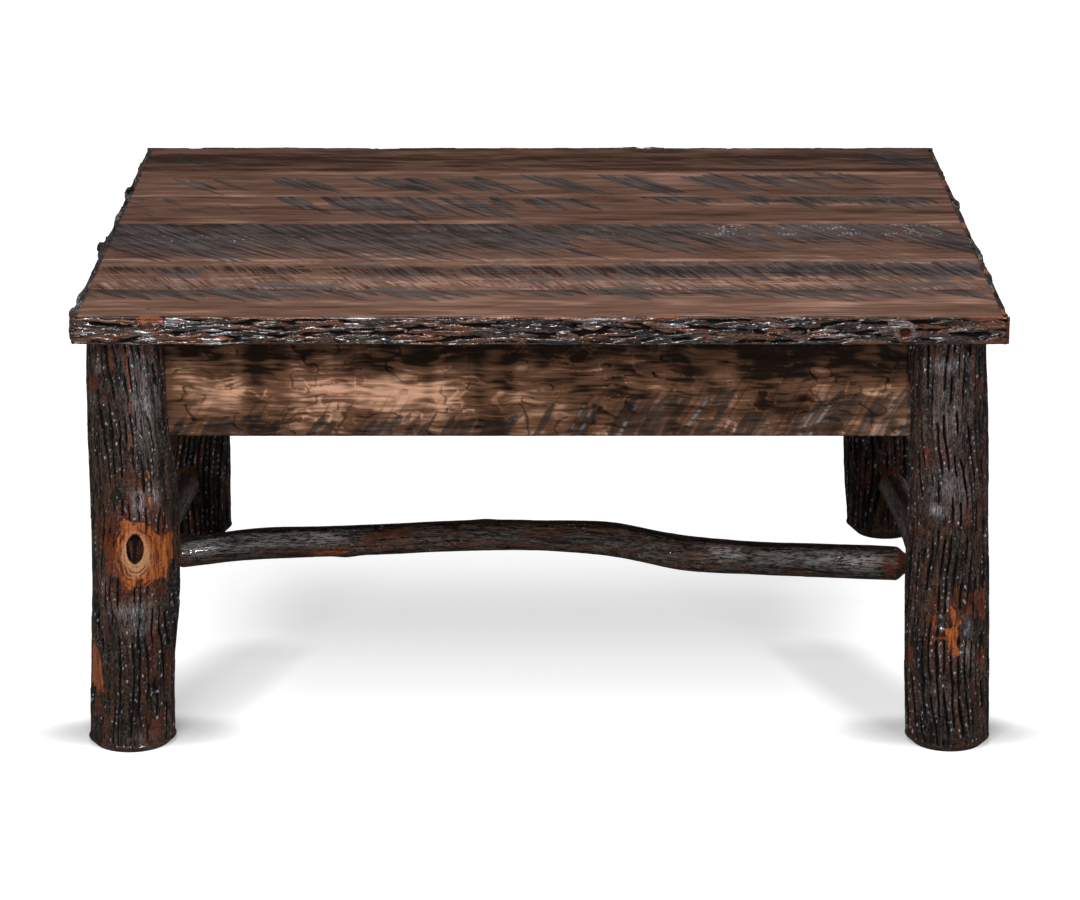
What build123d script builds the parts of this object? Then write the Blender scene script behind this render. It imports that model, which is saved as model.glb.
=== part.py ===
from build123d import *
import os
from math import cos, radians, sin, sqrt

# Rustic hickory table: a plank top edged with bark, on four log legs that are
# tied by aprons above and by three sapling stretchers below.
# Millimetres. X runs along the planks, -Y is the front and Z is up.
# The origin is on the floor under the middle of the top.

# ---------------------------------------------------------------- driving dimensions
TABLE_HEIGHT = 457.2
TOP_LENGTH = 918.0              # along X, over the bark edging

# Top boards, from the back of the table to the front
BOARD_WIDTHS = (119.0, 124.0, 127.0, 166.0, 114.0, 105.0)
BOARD_THICKNESS = 28.6
BOARD_EASE = 0.8                # bevel along the upper long edges
TONGUE_THICKNESS = 9.0
TONGUE_DEPTH = 8.0

# Bark edging
BARK_THICKNESS = 6.5
BARK_WAVE = 2.2                 # how far its outer face wanders inwards
BARK_LUMP_SPACING = 95.0
BARK_LUMP_TURN = 2.3            # radians of wave from one lump to the next
BARK_ROUNDING = 1.6
BARK_CORNER_ROUNDING = 3.5
BARK_CORNER_CUT = 3.0           # sawn corner at the right front
BARK_PHASES = {"front": 0.6, "back": 2.1, "left": 4.0, "right": 5.2}    # radians, where each wave starts

# Log legs
LEG_INSET_X = 50.0              # from the end of the top to the leg line
LEG_INSET_Y = 47.0              # from the front or back of the top to the leg line
BARK_RIBS = 18                  # ribs of bark round each log
RIB_DEPTH = 2.6                 # from a rib down to the furrow beside it
RIB_SWAY = 0.45                 # how far the ribs wander round the log, in ribs
RIB_TURN = 2.1                  # radians of sway from one ring to the next
FURROW_TURN = 1.7               # radians from one furrow's depth to the next
RIB_PHASES = {"front_left": 0.4, "front_right": 2.0, "back_left": 3.5, "back_right": 5.0}
FOOT_BEVELS = {"front_left": 6.0, "front_right": 6.5, "back_left": 8.0, "back_right": 11.0}
# Each log from foot to top at even steps: outward drift along X, outward drift along Y, radius
LEG_LOGS = {
    "front_left": (
        (4.8, 1.8, 43.1),
        (3.4, 1.2, 42.7),
        (-1.9, 0.6, 44.5),
        (-2.6, 0.2, 44.2),
        (1.4, 0.0, 40.6),
        (0.4, 0.0, 38.7),
    ),
    "front_right": (
        (6.4, 1.8, 41.4),
        (4.0, 1.2, 43.0),
        (1.5, 0.6, 42.0),
        (0.0, 0.2, 40.4),
        (-2.2, 0.0, 40.0),
        (-6.6, 0.0, 38.8),
    ),
    "back_left": (
        (2.3, 0.8, 43.6),
        (0.8, 0.6, 43.2),
        (-0.8, 0.2, 42.4),
        (-2.0, -0.2, 41.7),
        (-1.4, -0.4, 41.0),
        (-0.6, 0.0, 39.4),
    ),
    "back_right": (
        (1.0, 1.6, 43.6),
        (-5.0, 1.2, 44.0),
        (-7.4, 0.4, 43.6),
        (-6.2, 0.2, 42.8),
        (-4.4, 0.0, 41.8),
        (-3.6, 0.0, 40.4),
    ),
}

# Aprons
APRON_HEIGHT = 105.0
APRON_THICKNESS = 22.0
APRON_SETBACK = 6.0             # from the leg line inwards to the middle of the board
APRON_EASE = 1.2
APRON_SHOULDER = 33.0           # from the leg line to the end of the board, less its tenon
TENON_LENGTH = 16.0
TENON_THICKNESS = 10.0
TENON_MARGIN = 12.0             # from the board's edge to the tenon, above and below

# Stretchers
SIDE_STRETCHER_HEIGHT = 80.0
SIDE_STRETCHER_INSET = -1.0     # from the leg line outwards to the tenons, along X
SIDE_SHOULDER = 48.0            # from the leg line to where the tenon's taper ends
SIDE_TAPER = 34.0
SIDE_TENON_RADIUS = 12.0
SIDE_TENON_LENGTH = 34.0        # past the end of the taper
# Each sapling from front to back at even steps: outward bow, rise, radius
SIDE_SAPLINGS = {
    "left": (
        (5.0, 1.0, 16.6),
        (13.0, 3.5, 17.8),
        (18.8, 5.6, 18.2),
        (15.5, 4.0, 17.8),
        (6.5, 1.5, 16.8),
    ),
    "right": (
        (4.0, 0.0, 17.0),
        (12.5, -3.5, 18.2),
        (18.0, -6.1, 18.6),
        (16.0, -4.0, 18.4),
        (4.5, -0.5, 16.8),
    ),
}
CENTRE_SHOULDER = 23.0          # from a side stretcher's middle to the end of the taper
CENTRE_TAPER = 11.0
CENTRE_TENON_RADIUS = 11.2
CENTRE_TENON_PAST_MIDDLE = 6.0  # how far the tenon runs past the side stretcher's middle
# The bent sapling from left to right at even steps: drift along Y, rise, radius
CENTRE_SAPLING = (
    (0.0, 6.0, 16.2),
    (0.5, 16.0, 17.0),
    (2.0, 18.4, 16.7),
    (3.0, 20.9, 16.6),
    (3.0, 25.0, 17.2),
    (1.5, 25.2, 16.9),
    (-1.0, 20.2, 18.4),
    (-2.5, 4.8, 18.6),
    (-2.0, -0.5, 17.4),
    (-0.5, -3.6, 17.6),
    (0.0, -6.1, 17.8),
)

# Battens, cleats and corner blocks
BATTEN_WIDTH = 70.0
BATTEN_THICKNESS = 22.0
BATTEN_END_GAP = 2.0
CLEAT_SIZE = 24.0
CLEAT_END_GAP = 6.0
BLOCK_HEIGHT = 45.0
BLOCK_NEAR = 47.0               # from the leg line to the block's outer face, on the diagonal
BLOCK_DEPTH = 30.0

# Fasteners
SCREW_SHANK = 4.2
SCREW_HEAD = 8.4
SCREW_TIP = 5.0
SCREW_COVER = 6.0               # wood left beyond a screw's tip
SCREW_EDGE = 15.0               # least distance from a board's edge to a screw
BATTEN_SCREW_OFFSET = 20.0      # either side of the batten's middle
BLOCK_SCREW_SEAT = 12.0         # wood under a block screw's head
BLOCK_SCREW_BORE = 10.0
BLOCK_SCREW_ALONG = 50.0        # from the frame's inner corner to a block screw
TOP_SCREW_NEAR = 17.0           # place of the screw from a block up into the top
TOP_SCREW_FAR = 38.0
LAG_SHANK = 6.4
LAG_LENGTH = 70.0
LAG_HEAD_RADIUS = 6.4
LAG_HEAD_HEIGHT = 4.6
LAG_FLANGE_RADIUS = 8.0
LAG_FLANGE_HEIGHT = 1.4
BRAD_SHANK = 1.8
BRAD_HEAD = 3.0
BRAD_LENGTH = 25.0
BRAD_SINK = 3.0                 # from the bark's widest reach to a brad's head
LONG_EDGE_BRADS = 7

# Clearances
FIT = 0.15                      # round every tenon, tongue and screw
LAG_HOLE_PAST = 0.6             # left past the end of a lag screw

# ---------------------------------------------------------------- worked-out places
FIELD_DEPTH = sum(BOARD_WIDTHS)
TOP_DEPTH = FIELD_DEPTH + 2 * BARK_THICKNESS
BOARD_LENGTH = TOP_LENGTH - 2 * BARK_THICKNESS
UNDERSIDE = TABLE_HEIGHT - BOARD_THICKNESS
APRON_BOTTOM = UNDERSIDE - APRON_HEIGHT
LEG_X = TOP_LENGTH / 2 - LEG_INSET_X
LEG_Y = TOP_DEPTH / 2 - LEG_INSET_Y
INNER_X = LEG_X - APRON_SETBACK - APRON_THICKNESS / 2    # inner face of a side apron
INNER_Y = LEG_Y - APRON_SETBACK - APRON_THICKNESS / 2    # inner face of the front apron
BLOCK_OUTER = sqrt(2) * BLOCK_NEAR - 2 * (LEG_X - INNER_X)
BLOCK_INNER = BLOCK_OUTER + sqrt(2) * BLOCK_DEPTH
BLOCK_MIDDLE_Z = UNDERSIDE - BLOCK_HEIGHT / 2
CLEAT_REACH = INNER_Y - BLOCK_INNER - CLEAT_END_GAP      # half length of a side cleat

SIDES = {"left": -1, "right": 1}
ENDS = {"front": -1, "back": 1}
MIN_Z = (Align.CENTER, Align.CENTER, Align.MIN)


# ---------------------------------------------------------------- shared shapes
def block_between(low, high):
    """Rectangular block from its lowest corner to its highest."""
    size = [top - bottom for bottom, top in zip(low, high)]
    return Pos(*low) * Box(*size, align=(Align.MIN, Align.MIN, Align.MIN))


def round_bar(start, direction, length, start_radius, end_radius):
    """Straight round bar, tapered where its two radii differ."""
    if start_radius == end_radius:
        bar = Cylinder(start_radius, length, align=MIN_Z)
    else:
        bar = Cone(start_radius, end_radius, length, align=MIN_Z)
    return Plane(origin=start, z_dir=direction) * bar


def even_steps(stations):
    """Pairs each station with its share of the way from the first to the last."""
    return [(number / (len(stations) - 1), station) for number, station in enumerate(stations)]


def log(rings, direction):
    """Round log whose skin runs smoothly through circles square to one direction."""
    return loft([Plane(origin=middle, z_dir=direction) * Circle(radius) for middle, radius in rings])


def countersunk(head_place, direction, length, shank, head, grow=0.0):
    """Countersunk screw or brad, driven from the middle of its head along a direction.

    With grow it is the hole for that screw, open past the head."""
    cone_height = (head - shank) / 2
    radius = shank / 2 + grow
    stem = Cylinder(radius, length - SCREW_TIP + grow, align=MIN_Z)
    tip = Pos(0, 0, length - SCREW_TIP + grow) * Cone(radius, radius / 4, SCREW_TIP, align=MIN_Z)
    cap = Cone(head / 2 + grow, radius, cone_height, align=MIN_Z)
    body = stem + tip + cap
    if grow > 0:
        body += Pos(0, 0, -grow) * Cylinder(head / 2 + grow, grow, align=MIN_Z)
    return Plane(origin=head_place, z_dir=direction) * body


# ---------------------------------------------------------------- top
def board_edges():
    """Each board's back edge and front edge along Y, from the back of the table."""
    edges = []
    back = FIELD_DEPTH / 2
    for width in BOARD_WIDTHS:
        edges.append((back, back - width))
        back -= width
    return edges


def tongue(edge, grow=0.0):
    """Tongue along a board's front edge; with grow it is the groove that takes it."""
    middle = UNDERSIDE + BOARD_THICKNESS / 2
    half = TONGUE_THICKNESS / 2 + grow
    reach = TONGUE_DEPTH + grow
    return block_between(
        (-BOARD_LENGTH / 2, edge - reach, middle - half),
        (BOARD_LENGTH / 2, edge, middle + half),
    )


def top_boards():
    """Boards side by side, each with a tongue in front and a groove behind."""
    edges = board_edges()
    boards = []
    for number, (back, front) in enumerate(edges):
        board = block_between(
            (-BOARD_LENGTH / 2, front, UNDERSIDE), (BOARD_LENGTH / 2, back, TABLE_HEIGHT)
        )
        upper = board.edges().filter_by(Axis.X).group_by(Axis.Z)[-1]
        board = chamfer(upper, BOARD_EASE)
        if number > 0:
            board -= tongue(back, FIT)
        if number < len(edges) - 1:
            board += tongue(front)
        boards.append(board)
    return boards


def bark_strip(length, phase):
    """Strip of bark on its inner wood, along X: flat at y = 0 and wavy at -BARK_THICKNESS."""
    lumps = max(2, round(length / BARK_LUMP_SPACING))
    outer = []
    for lump in range(lumps + 1):
        hollow = BARK_WAVE * (0.5 + 0.5 * sin(BARK_LUMP_TURN * lump + phase))
        outer.append((length * (lump / lumps - 0.5), hollow - BARK_THICKNESS))
    back = Polyline(outer[-1], (length / 2, 0), (-length / 2, 0), outer[0])
    plan = make_face([Spline(*outer), *back.edges()])
    return Pos(0, 0, UNDERSIDE) * extrude(plan, BOARD_THICKNESS)


def outer_corners(strip):
    """The strip's upright edges on its outer side, from left to right."""
    upright = strip.edges().filter_by(Axis.Z)
    return upright.filter_by(lambda edge: edge.center().Y < -BARK_THICKNESS / 2).sort_by(Axis.X)


def round_long_edges(strip):
    """Rounds the bark's upper and lower outer edges."""
    outer = strip.edges().filter_by(lambda edge: abs(edge.center().Y) > BARK_THICKNESS / 2)
    level = [edge for edge in outer if edge.length > BARK_LUMP_SPACING]
    return fillet(level, BARK_ROUNDING)


def bark_edging():
    """Front and back strips run the full length; the side strips fit between them."""
    front = bark_strip(TOP_LENGTH, BARK_PHASES["front"])
    front = fillet(outer_corners(front)[0], BARK_CORNER_ROUNDING)
    front = chamfer(outer_corners(front)[-1], BARK_CORNER_CUT)
    back = bark_strip(TOP_LENGTH, BARK_PHASES["back"])
    back = fillet(outer_corners(back), BARK_CORNER_ROUNDING)
    left = bark_strip(FIELD_DEPTH, BARK_PHASES["left"])
    right = bark_strip(FIELD_DEPTH, BARK_PHASES["right"])
    return {
        "front": Pos(0, -FIELD_DEPTH / 2, 0) * round_long_edges(front),
        "back": Pos(0, FIELD_DEPTH / 2, 0) * Rot(0, 0, 180) * round_long_edges(back),
        "left": Pos(-BOARD_LENGTH / 2, 0, 0) * Rot(0, 0, -90) * round_long_edges(left),
        "right": Pos(BOARD_LENGTH / 2, 0, 0) * Rot(0, 0, 90) * round_long_edges(right),
    }


# ---------------------------------------------------------------- frame
def bark_outline(middle, radius, number, phase):
    """Level outline of a log through the crests of its ribs and the furrows between them."""
    sway = RIB_SWAY * sin(RIB_TURN * number + phase)
    points = []
    for rib in range(BARK_RIBS):
        furrow = RIB_DEPTH * (0.7 + 0.3 * sin(FURROW_TURN * rib + number + phase))
        for step, reach in ((0, radius), (0.5, radius - furrow)):
            angle = radians(360 * (rib + step + sway) / BARK_RIBS)
            points.append(middle + Vector(reach * sin(angle), -reach * cos(angle), 0))
    return make_face(Spline(*points, periodic=True))


def foot_ring(middle, radius, bevel):
    """What a foot's bevel takes off the end of a log."""
    outside = Cylinder(radius + bevel, bevel, align=MIN_Z)
    left_standing = Cone(radius - bevel, radius, bevel, align=MIN_Z)
    return Pos(*middle) * (outside - left_standing)


def leg(end, side):
    """Log in ribbed bark that stands on a bevelled foot and carries the boards on its top."""
    name = f"{end}_{side}"
    outlines = []
    for number, (share, (drift_x, drift_y, radius)) in enumerate(even_steps(LEG_LOGS[name])):
        across = SIDES[side] * (LEG_X + drift_x)
        along = ENDS[end] * (LEG_Y + drift_y)
        middle = Vector(across, along, share * UNDERSIDE)
        outlines.append(bark_outline(middle, radius, number, RIB_PHASES[name]))
        if number == 0:
            ring = foot_ring(middle, radius, FOOT_BEVELS[name])
    return loft(outlines) - ring


def apron(shoulder_span, grow=0.0):
    """Apron board with a stub tenon on each end, along X; with grow it is the cut that takes it."""
    board = Box(
        shoulder_span + 2 * grow, APRON_THICKNESS + 2 * grow, APRON_HEIGHT + 2 * grow
    )
    if grow == 0:
        lower = board.edges().filter_by(Axis.X).group_by(Axis.Z)[0]
        board = chamfer(lower, APRON_EASE)
    tenons = Box(
        shoulder_span + 2 * (TENON_LENGTH + grow),
        TENON_THICKNESS + 2 * grow,
        APRON_HEIGHT - 2 * TENON_MARGIN + 2 * grow,
    )
    return Pos(0, 0, APRON_BOTTOM + APRON_HEIGHT / 2) * (board + tenons)


def aprons(grow=0.0):
    """The four aprons in place."""
    long_span = 2 * (LEG_X - APRON_SHOULDER)
    short_span = 2 * (LEG_Y - APRON_SHOULDER)
    boards = {}
    for end, sign in ENDS.items():
        boards[end] = Pos(0, sign * (LEG_Y - APRON_SETBACK), 0) * apron(long_span, grow)
    for side, sign in SIDES.items():
        turned = Rot(0, 0, 90) * apron(short_span, grow)
        boards[side] = Pos(sign * (LEG_X - APRON_SETBACK), 0, 0) * turned
    return boards


# ---------------------------------------------------------------- stretchers
def turned_tenons(rings, direction, taper, radius, length, grow=0.0):
    """Straight tenons past the tapers at both ends; with grow they are the mortise cuts."""
    tenons = []
    for sign, (middle, _) in ((-1, rings[0]), (1, rings[-1])):
        outward = direction * sign
        start = middle + outward * taper
        tenons.append(round_bar(start, outward, length + grow, radius + grow, radius + grow))
    return tenons


def sapling(rings, direction, taper, tenon_radius, tenon_length):
    """Bark-covered sapling that tapers at each end to a turned tenon, and its mortise cuts."""
    body = log(rings, direction)
    for sign, (middle, radius) in ((-1, rings[0]), (1, rings[-1])):
        body += round_bar(middle, direction * sign, taper, radius, tenon_radius)
    body += turned_tenons(rings, direction, taper, tenon_radius, tenon_length)
    cuts = turned_tenons(rings, direction, taper, tenon_radius, tenon_length, FIT)
    return body, cuts


def side_middle(stations):
    """How far out a side stretcher's middle station lies."""
    bow = stations[len(stations) // 2][0]
    return LEG_X + SIDE_STRETCHER_INSET + bow


def side_stretcher(side):
    """Sapling from a front leg to a back leg, bowed outwards, and its mortise cuts."""
    half = LEG_Y - SIDE_SHOULDER - SIDE_TAPER
    rings = []
    for share, (bow, rise, radius) in even_steps(SIDE_SAPLINGS[side]):
        across = SIDES[side] * (LEG_X + SIDE_STRETCHER_INSET + bow)
        along = (2 * share - 1) * half
        rings.append((Vector(across, along, SIDE_STRETCHER_HEIGHT + rise), radius))
    return sapling(rings, Vector(0, 1, 0), SIDE_TAPER, SIDE_TENON_RADIUS, SIDE_TENON_LENGTH)


def centre_stretcher():
    """Bent sapling between the side stretchers' middles, and its mortise cuts."""
    start = CENTRE_SHOULDER + CENTRE_TAPER - side_middle(SIDE_SAPLINGS["left"])
    finish = side_middle(SIDE_SAPLINGS["right"]) - CENTRE_SHOULDER - CENTRE_TAPER
    rings = []
    for share, (drift, rise, radius) in even_steps(CENTRE_SAPLING):
        across = start + share * (finish - start)
        rings.append((Vector(across, drift, SIDE_STRETCHER_HEIGHT + rise), radius))
    length = CENTRE_SHOULDER + CENTRE_TENON_PAST_MIDDLE
    return sapling(rings, Vector(1, 0, 0), CENTRE_TAPER, CENTRE_TENON_RADIUS, length)


# ---------------------------------------------------------------- battens, cleats and blocks
def centre_batten():
    """Board across the grain that holds all the top boards level."""
    half_length = INNER_Y - BATTEN_END_GAP
    return block_between(
        (-BATTEN_WIDTH / 2, -half_length, UNDERSIDE - BATTEN_THICKNESS),
        (BATTEN_WIDTH / 2, half_length, UNDERSIDE),
    )


def side_cleat(side):
    """Square strip between the corner blocks that ties a side apron to the top."""
    faces = sorted((SIDES[side] * INNER_X, SIDES[side] * (INNER_X - CLEAT_SIZE)))
    return block_between(
        (faces[0], -CLEAT_REACH, UNDERSIDE - CLEAT_SIZE), (faces[1], CLEAT_REACH, UNDERSIDE)
    )


def in_corner(end, side, from_side, from_end, height):
    """Point at a distance from the side apron's and the end apron's inner faces."""
    across = SIDES[side] * (INNER_X - from_side)
    along = ENDS[end] * (INNER_Y - from_end)
    return Vector(across, along, height)


def corner_block(end, side):
    """Block set across an inner corner of the frame, its ends flat on the two aprons."""
    outline = [
        in_corner(end, side, BLOCK_OUTER, 0, UNDERSIDE - BLOCK_HEIGHT),
        in_corner(end, side, BLOCK_INNER, 0, UNDERSIDE - BLOCK_HEIGHT),
        in_corner(end, side, 0, BLOCK_INNER, UNDERSIDE - BLOCK_HEIGHT),
        in_corner(end, side, 0, BLOCK_OUTER, UNDERSIDE - BLOCK_HEIGHT),
    ]
    base = make_face(Polyline(*outline, close=True))
    return extrude(base, BLOCK_HEIGHT, dir=(0, 0, 1))


# ---------------------------------------------------------------- fasteners
def screw_rows(reach):
    """Middle of each board's part that lies over a batten or cleat of that half length."""
    rows = []
    for back, front in board_edges():
        near = max(front, -reach)
        far = min(back, reach)
        if far - near > 2 * SCREW_EDGE:
            rows.append((near + far) / 2)
    return rows


def wood_screws(places, length):
    """Countersunk screws at (head, direction) places, and their holes."""
    size = (length, SCREW_SHANK, SCREW_HEAD)
    screws = [countersunk(head, direction, *size) for head, direction in places]
    holes = [countersunk(head, direction, *size, FIT) for head, direction in places]
    return screws, holes


def batten_screws():
    """Two screws up into each board."""
    low = UNDERSIDE - BATTEN_THICKNESS
    places = [
        (Vector(across, along, low), Vector(0, 0, 1))
        for along in screw_rows(INNER_Y - BATTEN_END_GAP)
        for across in (-BATTEN_SCREW_OFFSET, BATTEN_SCREW_OFFSET)
    ]
    return wood_screws(places, BATTEN_THICKNESS + BOARD_THICKNESS - SCREW_COVER)


def cleat_top_screws():
    """Screws up through the cleats, one for each board above them."""
    low = UNDERSIDE - CLEAT_SIZE
    places = [
        (Vector(sign * (INNER_X - CLEAT_SIZE / 2), along, low), Vector(0, 0, 1))
        for sign in SIDES.values()
        for along in screw_rows(CLEAT_REACH)
    ]
    return wood_screws(places, CLEAT_SIZE + BOARD_THICKNESS - SCREW_COVER)


def cleat_side_screws():
    """Screws outwards through the cleats into the side aprons, between the top screws."""
    height = UNDERSIDE - CLEAT_SIZE / 2
    rows = screw_rows(CLEAT_REACH)
    places = [
        (Vector(sign * (INNER_X - CLEAT_SIZE), (first + second) / 2, height), Vector(sign, 0, 0))
        for sign in SIDES.values()
        for first, second in zip(rows, rows[1:])
    ]
    return wood_screws(places, CLEAT_SIZE + APRON_THICKNESS - SCREW_COVER)


def block_side_screws():
    """Two screws through each corner block, one into each apron, their heads in bores."""
    places = []
    bores = []
    for end, end_sign in ENDS.items():
        for side, side_sign in SIDES.items():
            into_side = Vector(side_sign, 0, 0)
            into_end = Vector(0, end_sign, 0)
            side_head = in_corner(end, side, BLOCK_SCREW_SEAT, BLOCK_SCREW_ALONG, BLOCK_MIDDLE_Z)
            end_head = in_corner(end, side, BLOCK_SCREW_ALONG, BLOCK_SCREW_SEAT, BLOCK_MIDDLE_Z)
            for head, direction in ((side_head, into_side), (end_head, into_end)):
                places.append((head, direction))
                radius = BLOCK_SCREW_BORE / 2
                bores.append(round_bar(head, direction * -1, BLOCK_INNER, radius, radius))
    screws, holes = wood_screws(places, BLOCK_SCREW_SEAT + APRON_THICKNESS - SCREW_COVER)
    return screws, holes + bores


def top_screws():
    """One long screw from each corner block up into the top."""
    low = UNDERSIDE - BLOCK_HEIGHT
    places = [
        (in_corner(end, side, TOP_SCREW_NEAR, TOP_SCREW_FAR, low), Vector(0, 0, 1))
        for end in ENDS
        for side in SIDES
    ]
    return wood_screws(places, BLOCK_HEIGHT + BOARD_THICKNESS - SCREW_COVER)


def lag_screws():
    """One hexagon-headed screw on the diagonal through each corner block into its leg."""
    screws = []
    holes = []
    middle = BLOCK_INNER / 2
    for end, end_sign in ENDS.items():
        for side, side_sign in SIDES.items():
            direction = Vector(side_sign, end_sign, 0).normalized()
            face = Plane(origin=in_corner(end, side, middle, middle, BLOCK_MIDDLE_Z), z_dir=direction)
            shank = face * Cylinder(LAG_SHANK / 2, LAG_LENGTH, align=MIN_Z)
            flange = face * Pos(0, 0, -LAG_FLANGE_HEIGHT) * Cylinder(
                LAG_FLANGE_RADIUS, LAG_FLANGE_HEIGHT, align=MIN_Z
            )
            head = face * Pos(0, 0, -LAG_FLANGE_HEIGHT - LAG_HEAD_HEIGHT) * extrude(
                RegularPolygon(LAG_HEAD_RADIUS, 6), LAG_HEAD_HEIGHT
            )
            screws.append(shank + flange + head)
            holes.append(face * Cylinder(LAG_SHANK / 2 + FIT, LAG_LENGTH + LAG_HOLE_PAST, align=MIN_Z))
    return screws, holes


def edge_brads():
    """Brads sunk through the bark strips into the boards, mid-way up their edges."""
    height = UNDERSIDE + BOARD_THICKNESS / 2
    places = []
    for sign in ENDS.values():
        face = sign * (TOP_DEPTH / 2 - BRAD_SINK)
        for number in range(LONG_EDGE_BRADS):
            across = TOP_LENGTH * ((number + 0.5) / LONG_EDGE_BRADS - 0.5)
            places.append((Vector(across, face, height), Vector(0, -sign, 0)))
    for sign in SIDES.values():
        face = sign * (TOP_LENGTH / 2 - BRAD_SINK)
        for back, front in board_edges():
            places.append((Vector(face, (back + front) / 2, height), Vector(-sign, 0, 0)))
    size = (BRAD_LENGTH, BRAD_SHANK, BRAD_HEAD)
    brads = [countersunk(head, direction, *size) for head, direction in places]
    holes = [countersunk(head, direction, *size, FIT) for head, direction in places]
    sinks = [
        round_bar(head, direction * -1, BRAD_SINK + FIT, BRAD_HEAD / 2 + FIT, BRAD_HEAD / 2 + FIT)
        for head, direction in places
    ]
    return brads, holes + sinks


# ---------------------------------------------------------------- assembly
def cut(pieces, names, cuts):
    """Takes the cuts out of the named pieces that they reach."""
    for name in names:
        for hole in cuts:
            pieces[name] = pieces[name] - hole


def write(name, solids):
    """One STEP file for a node, with one or more separate solids."""
    body = solids[0] if len(solids) == 1 else Compound(children=solids)
    export_step(body, f"parts/{name}.step")


def build():
    """Makes every piece, cuts each joint from the same sizes and writes the nodes."""
    pieces = {}
    boards = []
    for number, board in enumerate(top_boards(), start=1):
        pieces[f"top_plank_{number}"] = board
        boards.append(f"top_plank_{number}")
    strips = []
    for place, strip in bark_edging().items():
        pieces[f"bark_edge_{place}"] = strip
        strips.append(f"bark_edge_{place}")
    apron_cuts = aprons(FIT)
    apron_names = []
    for place, board in aprons().items():
        pieces[f"apron_{place}"] = board
        apron_names.append(f"apron_{place}")
    blocks = []
    for end in ENDS:
        for side in SIDES:
            pieces[f"leg_{end}_{side}"] = leg(end, side)
            cut(pieces, [f"leg_{end}_{side}"], [apron_cuts[end], apron_cuts[side]])
            pieces[f"corner_block_{end}_{side}"] = corner_block(end, side)
            blocks.append(f"corner_block_{end}_{side}")
    for side in SIDES:
        pieces[f"stretcher_{side}"], tenons = side_stretcher(side)
        cut(pieces, [f"leg_front_{side}"], tenons[:1])
        cut(pieces, [f"leg_back_{side}"], tenons[1:])
    pieces["stretcher_centre"], tenons = centre_stretcher()
    cut(pieces, ["stretcher_left"], tenons[:1])
    cut(pieces, ["stretcher_right"], tenons[1:])
    pieces["centre_batten"] = centre_batten()
    cleats = []
    for side in SIDES:
        pieces[f"cleat_{side}"] = side_cleat(side)
        cleats.append(f"cleat_{side}")

    legs = [f"leg_{end}_{side}" for end in ENDS for side in SIDES]
    fasteners = {
        "batten_screws": (batten_screws(), ["centre_batten"] + boards),
        "cleat_top_screws": (cleat_top_screws(), cleats + boards),
        "cleat_side_screws": (cleat_side_screws(), cleats + ["apron_left", "apron_right"]),
        "corner_block_screws": (block_side_screws(), blocks + apron_names),
        "top_screws": (top_screws(), blocks + boards),
        "leg_lag_screws": (lag_screws(), blocks + legs),
        "edge_brads": (edge_brads(), strips + boards),
    }
    os.makedirs("parts", exist_ok=True)
    for name, ((screws, holes), held) in fasteners.items():
        cut(pieces, held, holes)
        write(name, screws)
    for name, piece in pieces.items():
        write(name, [piece])


build()
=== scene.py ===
from itertools import product
from math import radians, tau

import bpy
import numpy as np
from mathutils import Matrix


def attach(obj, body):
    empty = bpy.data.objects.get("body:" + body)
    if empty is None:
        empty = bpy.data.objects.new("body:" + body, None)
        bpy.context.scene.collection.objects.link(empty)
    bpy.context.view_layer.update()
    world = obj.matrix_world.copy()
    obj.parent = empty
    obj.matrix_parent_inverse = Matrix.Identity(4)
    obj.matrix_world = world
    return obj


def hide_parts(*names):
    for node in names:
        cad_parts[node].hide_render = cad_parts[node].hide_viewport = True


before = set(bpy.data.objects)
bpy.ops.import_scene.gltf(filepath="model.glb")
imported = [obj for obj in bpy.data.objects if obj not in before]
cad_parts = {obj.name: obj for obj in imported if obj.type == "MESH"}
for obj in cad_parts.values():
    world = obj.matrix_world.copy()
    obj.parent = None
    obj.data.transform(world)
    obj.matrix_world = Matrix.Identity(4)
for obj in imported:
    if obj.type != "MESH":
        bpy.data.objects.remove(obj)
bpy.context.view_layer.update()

# Rustic hickory table. Shapes are worked out in millimetres, in the frame of the CAD model:
# X along the top boards, -Y the front, Z up, origin on the floor under the top's middle.
MILLIMETRE = 0.001

# The finished piece's main sizes, as the CAD model has them
TOP = 457.2                     # height of the boards' upper face
UNDERSIDE = 428.6               # height of their lower face
BOARD_END = 452.5               # half a board's length
FIELD_EDGE = 377.5              # half the depth of all the boards
BARK_THICKNESS = 6.5
SEAMS = (377.5, 258.5, 134.5, 7.5, -158.5, -272.5, -377.5)     # board edges, back to front
LEG_X = 409.0
LEG_Y = 337.0
APRON_LOW = 323.6
APRON_FACE = 5                  # how far an apron's face lies outside the legs' middles
APRON_SHORT = 33                # how far an apron's end lies inside them
APRON_THICKNESS = 22.0
STRETCHER_X = 408.0             # a side stretcher's axis, before its bow
STRETCHER_HEIGHT = 80.0


# ------------------------------------------------------------------ random fields
MIXERS = (2654435761, 2246822519, 3266489917)
WORD = 2 ** 32 - 1


def scramble(cells, seed):
    """Repeatable random number from 0 to 1 for each cell.

    The cell's whole numbers are multiplied by large odd numbers and added to the seed's,
    and the sum is twice folded onto itself and multiplied again."""
    total = np.full(np.broadcast_shapes(*map(np.shape, cells)), seed * 7919 + 13).astype(np.uint64)
    for factor, part in zip(MIXERS, cells):
        total = total + np.asarray(part).astype(np.int64).astype(np.uint64) * np.uint64(factor)
    total = (total ^ (total >> np.uint64(15))) * np.uint64(MIXERS[1])
    total = (total & np.uint64(WORD)) ^ ((total >> np.uint64(13)) & np.uint64(0xFFFFF))
    total = total * np.uint64(MIXERS[2])
    total = (total ^ (total >> np.uint64(16))) & np.uint64(WORD)
    return total.astype(np.float64) / WORD


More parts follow.
